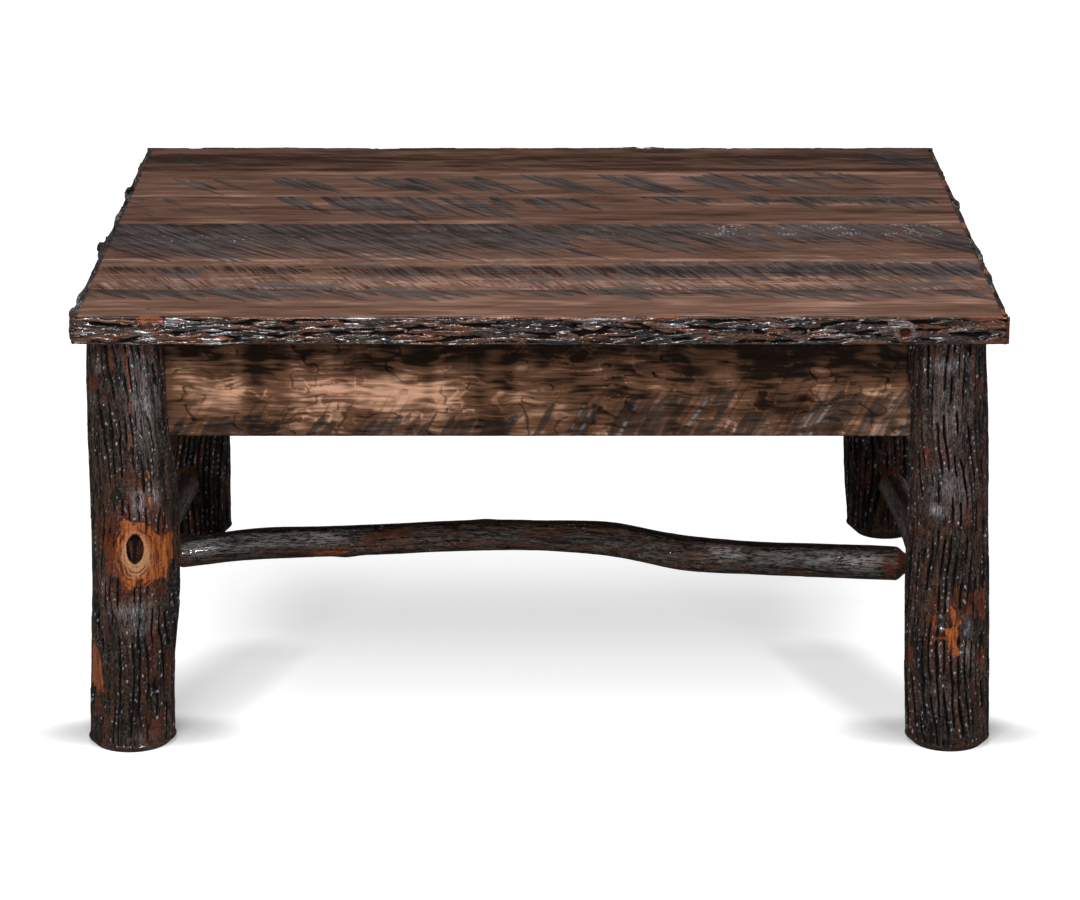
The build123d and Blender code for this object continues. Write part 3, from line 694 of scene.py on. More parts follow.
def inside(across, up, outline, seed, fray=1.6):
    """Mask of the area within an outline of straight sides, 1 inside, with a frayed edge.

    The distance from the nearest side is negative inside, where a line to the right crosses
    an odd number of sides. Noise stretched upwards is added to it."""
    nearest = np.full(np.shape(across), 1e9)
    crossed = np.zeros(np.shape(across), bool)
    for (x0, z0), (x1, z1) in zip(outline, outline[1:] + outline[:1]):
        run, rise = x1 - x0, z1 - z0
        share = np.clip(((across - x0) * run + (up - z0) * rise) / (run ** 2 + rise ** 2), 0, 1)
        nearest = np.minimum(nearest, np.hypot(across - x0 - share * run, up - z0 - share * rise))
        if rise:
            crossed ^= ((z0 > up) != (z1 > up)) & (across < x0 + run * (up - z0) / rise)
    distance = np.where(crossed, -nearest, nearest)
    distance = distance + fray * noise((across, up), (2.6, 9.0), seed)
    return 1 - fade(-0.7, 0.7, distance + 0.6 * fray * noise((across, up), (1.4, 3.0), seed + 1))


def knot(across, along, place, depth, dark, bare):
    """Cut branch in a leg: an oval hole with ribs in it, and a pale raised collar round it.

    Both are ellipses. The hole's floor sinks as the square root of 1 - distance^2 with ribs
    that fan from its top, and arcs of growth follow the collar's rim. The last of the marks
    that it gives is how pale the wood is."""
    gap, up = across - place[0], along - place[1]
    hole = np.hypot((gap - 0.6) / 8.7, up / 14.8) + 0.04 * noise((gap, up), (5, 6), 5)
    collar = np.hypot((gap - 2.0) / 18.5, (up + 6.5) / 27.5) + 0.06 * noise((gap, up), (9, 9), 6)
    within = 1 - fade(0.93, 1.04, hole)
    pale = (1 - fade(0.45, 1.05, collar)) * (1 - within)
    fan = 1 - np.abs(noise((np.arctan2(gap, up + 26) * 16, up), (1, 30), 7))
    sunk = 3.0 + 5.5 * np.sqrt(np.clip(1 - hole ** 2, 0, 1)) - 1.8 * fan * (1 - fade(0.3, 1.0, hole))
    arcs = 0 * gap
    for number, level in enumerate((1.0, 0.82, 0.66, 1.22)):
        broken = fade(-0.25, 0.25, noise((gap + 45 * number, up), (9, 9), 9))
        arcs = np.maximum(arcs, broken * hump((collar - level) / 0.045))
    arcs = arcs * (1 - within)
    depth = depth - 0.7 * pale - 0.7 * hump((hole - 1.12) / 0.09) + 0.5 * arcs
    depth = depth + within * (sunk - depth)
    below = hump((gap - 1.0) / 8.0, (up + 19.0) / 6.0) * fade(-0.3, 0.3, noise((gap, up), (2, 9), 8))
    dark = np.maximum.reduce([
        dark * (1 - within) * (1 - pale), 0.9 * arcs, 0.6 * below, 0.9 * hump((hole - 1.0) / 0.05),
        within * (0.6 + 0.4 * fade(0.25, 0.6, fan)),
    ])
    bare = np.maximum.reduce([bare * (1 - within), pale, 0.8 * within])
    return depth, dark, bare, pale


def slit(gap, height, low, high, width, seed):
    """Mask of a narrow upright strip of bared inner bark, broken here and there."""
    waver = gap + 1.6 * noise((height, 0 * gap), (14, 1), seed)
    edge = np.abs(waver) + 0.5 * noise((height, gap), (3, 2), seed + 2)
    whole = fade(-0.35, -0.1, noise((height, gap), (11, 20), seed + 1))
    return (1 - fade(width / 2 - 0.5, width / 2 + 0.5, edge)) * between(low, high, 4, height) * whole


def broad_ribs(angle, share, phase, rings):
    """Depth of a log's broad furrows below its ribs, in millimetres, and the place in ribs.

    The ribs sway round the log as the sine of the ring's number. A furrow's depth is a sine of
    its own number and the ring's, and between two ribs the skin dips as half of 1 - cos."""
    ring = np.arange(rings)
    at = np.clip(share, 0, 1) * (rings - 1)
    sway = smooth_curve(ring, RIB_SWAY * np.sin(RIB_TURN * ring + phase), at)
    place = RIBS * angle / tau - sway
    furrow = np.mod(np.floor(place), RIBS)
    deep = RIB_DEPTH * (0.7 + 0.3 * np.sin(FURROW_TURN * furrow + at + phase))
    return deep * (0.5 - 0.5 * np.cos(tau * place)), place


def leg_surface(where, material):
    """Log with its bark, from the sole to the boards.

    At each height the ring is a circle about the log's drifting middle, whose radius is the
    log's own less the bark's relief. Below the bevel's height the radius shrinks by as much
    as the ring lies lower, and the sole and the top are closed by smaller rings."""
    leg = LEGS[where]
    end, side = where.split("_")
    sign_x = 1 if side == "right" else -1
    sign_y = 1 if end == "back" else -1
    drift_x, drift_y, radius = np.array(leg["log"]).T
    stops = np.linspace(0, 1, len(radius))
    bevel, mean = leg["bevel"], radius.mean()
    height = np.concatenate([
        [0, 0], np.linspace(0, bevel, 7)[:-1], np.linspace(bevel, UNDERSIDE, leg["along"]), [UNDERSIDE]
    ])
    scale = np.ones_like(height)
    scale[:2] = (0.4, 0.8)
    scale[-1] = 0.5
    at = height / UNDERSIDE
    size = smooth_curve(stops, radius, at) - np.maximum(bevel - height, 0)
    turn = tau * np.linspace(0, 1, leg["around"], endpoint=False)
    along, angle = np.meshgrid(height, turn - 0.3 * np.sin(turn), indexing="ij")
    solid = (along, mean * np.sin(angle), -mean * np.cos(angle))
    across = (np.mod(angle + np.pi, tau) - np.pi) * mean
    ribbed, place = broad_ribs(angle, at[:, None], leg["phase"], len(radius))
    lanes = 2 * RIBS
    loose = sum(humps(leg["loose"], across, along))
    depth, dark, plate, beads = bark_relief(
        solid, 2 * place + 0.5, lanes, tau * mean / lanes, leg["style"], leg["seed"], loose
    )
    seed = leg["seed"] + 40
    # Beads, some scattered at random, become painted glints.
    spots = 0.16 * fade(0.1, 0.5, noise(solid, (40, 16, 16), seed))
    beads = np.maximum(beads, dots(48 * angle / tau, along / 7.5, 0.2, spots, seed + 1, 48))
    barked = (fade(bevel, bevel + 2.5, height) * (scale == 1))[:, None]
    bare = 0.12 * (1 - barked) + 0 * depth
    depth, dark, beads = (depth + ribbed) * barked, dark * barked, beads * barked
    for number, (middle, low, high, width, strength) in enumerate(leg["slits"]):
        mask = strength * slit(across - middle, along, low, high, width, seed + 4 + 3 * number)
        bare = np.maximum(bare, mask)
        depth = depth + mask * (1.6 - depth) * 0.6
        dark = dark * (1 - 0.8 * mask)
    for number, (strength, outline) in enumerate(leg["scars"]):
        scar_seed = seed + 31 + 5 * number
        mask = inside(across, along, outline, scar_seed, 1.6 if strength > 0.9 else 3.0)
        bare = np.maximum(bare, strength * mask)
        smooth = 2.4 + 0.3 * ribbed + 0.45 * noise(solid, (16, 3.4, 3.4), scar_seed + 2)
        bared = mask * fade(0.5, 1.0, strength)
        depth = depth + bared * (smooth - depth)
        streaks = fade(0.05, 0.4, noise(solid, (15, 1.8, 1.8), seed + 34))
        dark = dark * (1 - 0.8 * bared) + 0.6 * bared * streaks
        beads = beads * (1 - 0.9 * bared)
    for outline in leg["pits"]:
        mask = inside(across, along, outline, seed + 90)
        bare = bare * (1 - 0.8 * mask)
        dark = np.maximum(dark * (1 - mask), 0.45 * mask)
        depth = depth + mask * (3.4 + 0.8 * noise(solid, (3, 3, 3), seed + 91) - depth)
    ring = 0 * depth
    if "knot" in leg:
        depth, dark, bare, ring = knot(across, along, leg["knot"], depth, dark, bare)
    reach = (size[:, None] - np.maximum(depth, 0)) * scale[:, None]
    middle_x = sign_x * (LEG_X + smooth_curve(stops, drift_x, at))[:, None]
    middle_y = sign_y * (LEG_Y + smooth_curve(stops, drift_y, at))[:, None]
    rings = np.stack([middle_x + reach * np.sin(angle), middle_y - reach * np.cos(angle), along], -1)
    # Painted sheen where the shines lie; it also pools the varnish.
    shine = np.maximum.reduce([0 * depth, *humps(leg["shines"], across, along)])
    marks = dict(zip(BARK_MARKS, (dark, plate, bare, ring, shine, fade(0.08, 0.6, beads))))
    return skin(f"{where}_log_bark", rings, marks, material, [f"leg_{where}"])


# ------------------------------------------------------------------ top boards
def saw_strokes(x, y, seed, spacing, lean, bend):
    """Place in the strokes of a large saw across a board, counted along the board.

    x runs along the board and y across it from its middle line. The strokes are arcs that
    cross the middle line at the lean and flatten by run^2 / bend, and noise makes them uneven."""
    run = -y / np.sin(lean)
    across = x * np.sin(lean) + y * np.cos(lean) - run ** 2 / bend
    return (across + 1.4 * noise((x, y), (34, 22), seed) + 0.5 * noise((x, y), (9, 16), seed + 1)) / spacing


def brushed(place, share, limits, spacing, lean, seed):
    """Mask of a patch of old, dark wood, made up of slanting strokes with pointed ends.

    The stroke at each number reaches between its own ends across the board. With t from -1 to
    1 between them, its half width is its own share of the spacing times the square root of
    1 - t^4 in its first half and (1 - t)^0.7 in its second. Each point takes the strongest of
    the strokes near it, which weaken to one side."""
    start, finish, low, high, strength = limits
    mask = 0 * place
    for step in (-1, 0, 1):
        number = np.floor(place) + step
        own = [scramble((number,), seed + which) - 0.5 for which in range(5)]
        gap = place - number - 0.5 - 0.4 * own[0]
        top, foot = low + 0.16 * own[1], high + 0.3 * own[2]
        t = np.clip((2 * share - top - foot) / np.maximum(foot - top, 0.05), -1, 1)
        wide = (0.66 + 0.4 * own[3]) * np.where(t < 0, np.sqrt(1 - t ** 4), (1 - t) ** 0.7) + 1e-3
        at = (number + 0.5) * spacing / np.sin(lean)
        here = (at > start) & (at < finish) & (np.abs(t) < 1)
        side = 1 - 0.3 * fade(-0.3, 0.6, gap)
        stroke = (1 - fade(0.78, 1.1, np.abs(gap) / wide)) * (0.85 + 0.3 * own[4]) * side
        mask = np.maximum(mask, strength * stroke * here)
    return mask


def grooves(place, seed, shift=0.0):
    """Thin line along the middle of each stroke, with a random strength of its own.

    It is a hump 0.17 of a stroke wide, and a shift moves it off the stroke's middle."""
    number = np.floor(place)
    line = hump((place - number + shift - 0.5) / 0.17)
    return line * fade(0.25, 0.8, scramble((number,), seed))


def board_rings(length, face, thickness, depth, ease):
    """Rings round a board: across its upper face, down, back along its lower face and up.

    The upper face is lowered by its relief, and its first and last points by the eased edge."""
    drop = depth.copy()
    drop[:, [0, -1]] += ease
    corners = face[-1] + (face[0] - face[-1]) * np.arange(4) / 3
    u, v = np.meshgrid(length, np.concatenate([face, corners]), indexing="ij")
    under = np.full((len(length), 4), -float(thickness))
    return np.stack([u, v, np.concatenate([-drop, under], 1)], -1)


def padded(marks, smoke, tone):
    """Marks with four more columns for a board's sides and back, which have only these two."""
    fills = {"smoke": smoke, "tone": tone}
    return {
        title: np.pad(values, ((0, 0), (0, 4)), constant_values=fills.get(title, 0.0))
        for title, values in marks.items()
    }


BOARD_COLUMNS = 521
BOARD_STEP = 1.6                # from one row of points to the next
APRON_ROWS = 88
FINE_SPACING = 4.2              # of the fine saw marks
# lean in degrees, bend and spacing: the board's saw strokes. hatch: how strongly fine saw
# marks cover it. tone and smoke: its lightness, partly its own and partly a painted falloff of
# light that leaves the back boards darker, and how much old grey face is left.
# Patches of old face: start and finish along X, low and high share of the width from the
# back, and strength. Glints, where varnish stands on rough wood, are given in the same way;
# there the wood is also painted a little lighter, as a sheen, and gets painted specks of glint.
# Bands are lighter or darker lines along the board: share, softness and change. A light band
# near a board's front edge is a painted highlight on its eased edge. A nail's mark is a place
# in X and Y.
BOARDS = (
    {
        "seed": 301, "lean": 50, "bend": 1500, "spacing": 9.0, "hatch": 0.0, "tone": -0.2, "smoke": 0.1,
        "patches": (
            (-425, -400, 0.4, 0.75, 0.9), (250, 264, 0.35, 0.75, 0.9), (385, 450, 0.2, 0.85, 0.95),
            (-60, 20, 0.3, 0.8, 0.25),
        ),
        "glints": (), "bands": ((0.12, 0.1, 0.06), (0.4, 0.12, -0.12), (0.92, 0.05, -0.16)),
    },
    {
        "seed": 331, "lean": 54, "bend": 1500, "spacing": 9.0, "hatch": 0.0, "tone": 0.0, "smoke": 0.0,
        "patches": (
            (-397, -374, 0.3, 0.9, 1.0), (-358, -340, 0.36, 0.72, 0.8), (-290, -246, 0.3, 0.9, 1.0),
            (-190, -125, 0.26, 0.9, 1.0), (-96, -48, 0.26, 0.92, 1.0), (4, 48, 0.2, 0.9, 1.1),
            (86, 138, 0.2, 0.92, 1.1), (178, 232, 0.12, 0.85, 1.0), (256, 290, 0.12, 0.8, 0.95),
            (300, 325, 0.12, 0.72, 0.9), (340, 392, 0.06, 0.6, 0.8),
        ),
        "glints": ((-20, 160, 0.2, 0.6, 0.25),), "bands": ((0.08, 0.1, 0.16), (0.97, 0.03, 0.2)),
    },
    {
        "seed": 367, "lean": 58, "bend": 1500, "spacing": 10.0, "hatch": 0.0, "tone": -0.02, "smoke": 0.0,
        "patches": (
            (-262, -236, 0.05, 0.6, 0.95), (-210, -140, 0.0, 0.9, 0.95), (-130, -90, 0.0, 0.75, 0.95),
            (-78, -48, 0.05, 0.9, 0.95), (-36, -12, 0.1, 0.5, 0.9), (2, 30, 0.05, 0.55, 0.9),
            (48, 72, 0.08, 0.4, 0.85), (140, 225, -0.1, 0.28, 0.9), (250, 278, -0.1, 0.25, 0.9),
            (290, 460, -0.1, 0.42, 1.0), (-470, -372, 0.0, 0.26, 0.7), (-460, -372, 0.5, 0.78, 0.45),
            (-365, -300, 0.3, 0.52, 0.35),
        ),
        "glints": ((-190, 200, 0.0, 0.04, 0.8), (310, 430, 0.0, 0.4, 0.4)),
        "bands": ((0.3, 0.1, 0.05), (0.6, 0.08, -0.06), (0.955, 0.04, 0.2)),
    },
    {
        "seed": 401, "lean": 52, "bend": 2000, "spacing": 11.0, "hatch": 0.12, "tone": 0.0, "smoke": 0.2,
        "patches": (
            (-480, -130, 0.0, 1.02, 1.0), (-140, 20, 0.0, 0.84, 0.95), (-480, 300, 0.0, 0.36, 0.9),
            (20, 60, 0.1, 0.6, 0.85), (84, 150, 0.1, 0.72, 0.95), (170, 250, 0.1, 0.66, 0.95),
            (270, 330, 0.1, 0.6, 0.9), (300, 480, 0.0, 0.46, 1.0), (395, 480, 0.3, 0.9, 0.9),
        ),
        "glints": ((160, 430, 0.02, 0.34, 1.0), (-440, -230, 0.3, 0.55, 0.6), (-150, 120, 0.1, 0.6, 0.4)),
        "bands": ((0.965, 0.035, 0.26),),
    },
    {
        "seed": 433, "lean": 66, "bend": 3000, "spacing": 12.5, "hatch": 1.0, "tone": 0.04, "smoke": 0.3,
        "patches": (
            (-450, -180, 0.22, 0.8, 0.42), (-180, 90, 0.16, 0.75, 0.55), (90, 250, 0.08, 0.62, 0.9),
            (250, 480, 0.02, 0.6, 1.0),
        ),
        "glints": ((240, 420, 0.6, 0.8, 0.25), (-240, 60, 0.5, 0.9, 0.2)),
        "bands": ((0.1, 0.08, 0.16), (0.76, 0.26, 0.34)),
    },
    {
        "seed": 467, "lean": 44, "bend": 1500, "spacing": 15.0, "hatch": 0.0, "tone": 0.06, "smoke": 0.0,
        "patches": ((-480, 480, -0.25, 0.36, 0.9),),
        "glints": (), "nail": (-386, -348),
        "bands": ((0.68, 0.03, -0.1), (0.55, 0.08, 0.04), (0.98, 0.03, 0.1)),
    },
)


def top_board(number, material):
    """Sawn board of the top: flat, a little wavy, and grooved where saw marks are left."""
    board = BOARDS[number]
    back, front = SEAMS[number:number + 2]
    width, middle = back - front, (back + front) / 2
    seed, bend, spacing, lean = board["seed"], board["bend"], board["spacing"], radians(board["lean"])
    x = np.linspace(-BOARD_END, BOARD_END, BOARD_COLUMNS)
    y = np.linspace(back, front, int(width / BOARD_STEP))
    grid = grid_x, grid_y = np.meshgrid(x, y, indexing="ij")
    share = (back - grid_y) / width
    place = saw_strokes(grid_x, grid_y - middle, seed, spacing, lean, bend)
    cloud = layered(grid, (45, 18), seed + 6)
    envelope = board["smoke"] * (1 + cloud)
    for order, limits in enumerate(board["patches"]):
        patch = brushed(place, share, limits, spacing, lean, seed + 20 + 9 * order)
        envelope = np.maximum(envelope, patch)
    fine = saw_strokes(grid_x, grid_y - middle, seed + 30, FINE_SPACING, lean, bend)
    broken = np.clip(0.7 + 0.7 * noise((np.floor(fine) * 0.7, grid_y), (1, 16), seed + 34), 0, 1)
    along_stroke = grid_x * np.cos(lean) - (grid_y - middle) * np.sin(lean)
    brush = layered((place * spacing, along_stroke), (2, 34), seed + 50)
    line = broken * grooves(fine, seed + 33)
    hatch = board["hatch"] * fade(0.14, 0.22, share) * fade(-0.4, 0.1, cloud + 0.3)
    mark = np.maximum(0.9 * line * np.clip(envelope * 1.2, 0, 1), 0.7 * hatch * line)
    lighter = np.clip(hatch + 0.6 * envelope, 0, 1) * grooves(fine, seed + 28, 0.5) * broken
    smoke = fade(0.15, 0.8, envelope * (1 + 0.35 * brush) + 0.08 * cloud)
    brushy = np.clip(envelope + 0.7 * hatch, 0, 1)
    bent = (grid_x, grid_y + 6.0 * noise(grid, (80, 30), seed + 4))
    # The board's tone is partly its own lightness and partly a painted falloff of light, darker towards the
    # back.
    tone = board["tone"] + 0.15 * layered(bent, (70, 14), seed + 8)
    tone = tone + 0.1 * layered(bent, (30, 4.5), seed + 5)
    tone = tone * (1 - 0.6 * brushy) + brushy * (0.36 * brush + 0.1 * cloud - 0.04)
    tone = tone + 0.24 * lighter - 0.14 * hatch
    # Bands; a light one near the front edge is a painted highlight on the eased edge.
    for level, soft, change in board["bands"]:
        tone = tone + change * hump((share - level) / soft) * (1 + 0.5 * cloud)
    glint = 0 * grid_x
    for start, finish, low, high, strength in board["glints"]:
        here = between(start, finish, 30, grid_x) * between(low, high, 0.06, share)
        glint = np.maximum(glint, strength * here)
    crowd = glint * fade(-0.3, 0.4, noise(grid, (22, 14), seed + 41))
    beads = glint * dots(grid_x / 4.5, grid_y / 5.5 + 0.5 * cloud, 0.3, crowd, seed + 40)
    if "nail" in board:
        nail_x, nail_y = board["nail"]
        mark = np.maximum(mark, hump(((grid_x - nail_x) / 1.8) ** 2, ((grid_y - nail_y) / 4.0) ** 2))
    depth = 0.25 + 0.2 * layered(grid, (90, 30), seed + 9) + 0.5 * mark
    rings = board_rings(x, y, TOP - UNDERSIDE, np.maximum(depth, 0), 0.7)
    rings[..., 2] += TOP
    # Glint areas are painted a little lighter, a painted sheen, and their beads are painted specks of glint.
    marks = {"smoke": smoke, "tone": tone + 0.2 * glint, "mark": mark, "glint": glint}
    marks = padded({**marks, "bead": fade(0.1, 0.6, beads)}, 0.3, 0.1)
    name = f"sawn_top_board_{number + 1}"
    return skin(name, rings, marks, material, [f"top_plank_{number + 1}"])


# ------------------------------------------------------------------ aprons
def apron_board(where, material):
    """Sawn apron board, its rough face outwards and its edges plain, with a painted pool of light and
    painted shade under the top.
    """
    half = (LEG_X if where in ("front", "back") else LEG_Y) - APRON_SHORT
    seed = {"front": 503, "back": 541, "left": 577, "right": 613}[where]
    u = np.linspace(-half, half, {"front": 520, "back": 400}.get(where, 320))
    v = np.linspace(APRON_LOW, UNDERSIDE, APRON_ROWS)
    grid = grid_u, grid_v = np.meshgrid(u, v, indexing="ij")
    share = (UNDERSIDE - grid_v) / (UNDERSIDE - APRON_LOW)
    cloud = layered(grid, (60, 30), seed + 2, 3)
    lean, spacing, middle = radians(58), 9.0, (APRON_LOW + UNDERSIDE) / 2
    place = saw_strokes(grid_u, middle - grid_v, seed, spacing, lean, 2000)
    stroke = np.floor(place)
    right = fade(-80, 120, grid_u)
    limits = (-430, 430, 0.78 - 0.25 * right, 1.25, 1.0)
    envelope = brushed(place, share, limits, spacing, lean, seed + 20)
    envelope = envelope * fade(0.3, 0.6, scramble((stroke,), seed + 21) + 0.3 * cloud)
    bands = layered(grid, (20, 200), seed + 3)
    warp = 10 * layered(grid, (40, 20), seed + 5)
    curl = noise((grid_u + warp, grid_v + 0.7 * warp), (14, 5), seed + 6)
    ripple = noise((grid_u, grid_v + 0.35 * warp), (22, 1.9), seed + 8)
    crack = noise((grid_u - warp, grid_v + 0.5 * warp), (26, 9), seed + 7)
    squiggle = (1 - fade(0.02, 0.16, np.abs(curl))) * fade(-0.3, 0.3, noise(grid, (25, 20), seed + 9))
    split = (1 - fade(0.02, 0.09, np.abs(crack))) * fade(0.0, 0.3, bands + 0.2)
    # Painted pool of light on the face, left of the middle and about halfway down.
    light = 0.7 * hump((grid_u + 322) / 40) + hump((grid_u + 150) / 62)
    light = np.clip(light + 0.3 * hump((grid_u + 240) / 60), 0, 1) + 0.2 * fade(150, 330, grid_u)
    light = light * hump((share - 0.56) / 0.2)
    # Painted shade under the top's overhang, deeper to the right; the tone is also painted a little darker
    # to the right.
    painted_top_shade = (0.62 + 0.38 * right) * (1 - fade(0.06, 0.6, share + 0.14 * cloud + 0.06 * curl))
    tone = -0.04 + 0.14 * cloud + 0.1 * curl + 0.26 * squiggle + 0.2 * ripple + 0.6 * light + 0.16 * bands
    tone = tone - 0.4 * painted_top_shade - 0.3 * split * (1 - 0.5 * light) - 0.04 * right
    mark = 0.8 * grooves(place, seed + 25) * fade(0.35, 0.8, share + 0.2 * right)
    mark = np.maximum(mark, 0.6 * split)
    glint = envelope * fade(-50, 120, grid_u) * fade(0.45, 0.8, share) * fade(-0.2, 0.3, ripple + curl)
    glint = glint * fade(0.4, 0.6, scramble((stroke,), seed + 22))
    depth = 0.4 + 0.2 * cloud + 0.6 * mark + 0.3 * np.abs(curl) + 0.15 * ripple
    rings = board_rings(u, v, APRON_THICKNESS, np.maximum(depth, 0), 0.6)
    faces = (LEG_X + APRON_FACE, LEG_Y + APRON_FACE)
    points = facing_out(where, faces, rings[..., 0], rings[..., 2], rings[..., 1])
    # Beads along the glinting strokes are painted glints, and the smoky grey also carries the painted shade
    # under the top.
    beads = 0.3 * glint * (1 - fade(0.06, 0.24, np.abs(place - stroke - 0.3)))
    marks = {"smoke": np.maximum(0.95 * envelope, 0.55 * painted_top_shade ** 2), "tone": tone}
    marks = padded({**marks, "mark": mark, "glint": glint, "bead": beads}, 0.2, 0.2)
    return skin(f"{where}_apron_board", points, marks, material, [f"apron_{where}"])


# ------------------------------------------------------------------ bark edging
def flake_field(u, s, spacing_u, spacing_s, seed):
    """Bark in overlapping flakes along a strip: height above the hollows, and a number per flake.

    Flakes lie in staggered rows, each moved at random. A flake is a long low dome: its height
    is its own level plus 1.7 sqrt(1 - d), where d is the fourth power of the share of its half
    length plus the square of the share of its half width, which narrows to both ends. Its
    middle line is tilted and bent, and it leans. Each point takes the highest flake over it."""
    height = np.full((len(u), len(s)), -0.6)
    owner = np.zeros((len(u), len(s)))
    rows = int(np.ceil((s[-1] - s[0]) / spacing_s)) + 2
    columns = int(np.ceil((u[-1] - u[0]) / spacing_u)) + 3
    column, row = np.meshgrid(np.arange(columns), np.arange(rows), indexing="ij")
    own = [scramble((column, row), seed + number).ravel() for number in range(8)]
    column, row = column.ravel(), row.ravel()
    middle_u = u[0] + (column - 1 + 0.5 * (row % 2) + 0.9 * (own[0] - 0.5)) * spacing_u
    middle_s = s[0] + (row - 0.5 + 0.9 * (own[1] - 0.5)) * spacing_s
    half_length = spacing_u * (0.45 + 1.1 * own[2] ** 2)
    half_width = spacing_s * (0.42 + 0.35 * own[3])
    tilt = 0.22 * (own[4] - 0.5) * half_length
    bend = 5.0 * (own[5] - 0.5)
    level = 2.2 * own[6]
    first = np.searchsorted(u, middle_u - half_length)
    last = np.searchsorted(u, middle_u + half_length)
    for number in np.argsort(level):
        reach = slice(first[number], last[number])
        if first[number] == last[number]:
            continue
        share = (u[reach] - middle_u[number]) / half_length[number]
        line = middle_s[number] + tilt[number] * share + bend[number] * share ** 2
        line = line + 0.9 * noise((u[reach],), (9.0,), seed + 31 + int(number))
        width = half_width[number] * (1 - 0.45 * share ** 2)
        off = (s[None, :] - line[:, None]) / width[:, None]
        within = 1 - share[:, None] ** 4 - off ** 2
        dome = level[number] + 1.7 * np.sqrt(np.clip(within, 0, 1)) + 0.35 * off
        taller = (within > 0) & (dome > height[reach])
        height[reach][taller] = dome[taller]
        owner[reach][taller] = own[7][number]
    return height, owner


def pairs(first, second):
    """Two numbers or rows of numbers side by side, as an array of points."""
    return np.stack(np.broadcast_arrays(first, second), -1).astype(float)


def edge_section(face_points):
    """Section of a bark strip as points, outward directions and running length.

    From the inner lower corner it runs out along the bottom, up the outer face, in along the
    top and down the inner face, with rounded outer corners."""
    height, rounding = TOP - UNDERSIDE, 2.0
    flat, high = BARK_THICKNESS - rounding, height - rounding
    turn = np.linspace(0, np.pi / 2, 5)
    sine, cosine = np.sin(turn), np.cos(turn)
    outline = np.concatenate([
        pairs(np.linspace(0, flat, 4)[:-1], 0),
        pairs(flat + rounding * sine, rounding - rounding * cosine),
        pairs(BARK_THICKNESS, np.linspace(rounding, high, face_points)[1:-1]),
        pairs(flat + rounding * cosine, high + rounding * sine),
        pairs(np.linspace(flat, 0, 5)[1:], height),
        pairs(0, np.linspace(height, 0, 5)[1:-1]),
    ])
    normals = np.concatenate([
        pairs(np.zeros(3), -1), pairs(sine, -cosine), pairs(np.ones(face_points - 2), 0),
        pairs(cosine, sine), pairs(np.zeros(4), 1), np.zeros((3, 2)),
    ])
    steps = np.linalg.norm(np.diff(outline, axis=0), axis=1)
    return outline, normals, np.concatenate([[0], np.cumsum(steps)])


# Lumps of each strip that stand out: place along it, half length and height
EDGE_LUMPS = {
    "front": (),
    "back": ((-300, 18, 2.0), (120, 22, 2.5)),
    "left": (
        (-360, 22, 5.0), (-300, 20, 3.0), (-95, 16, 6.5), (-60, 10, 3.0), (165, 14, 5.5), (40, 26, 2.0),
        (290, 20, 2.5),
    ),
    "right": ((-210, 22, 2.5), (-120, 26, 2.0), (100, 20, 3.0), (250, 22, 2.0), (300, 12, 1.5)),
}


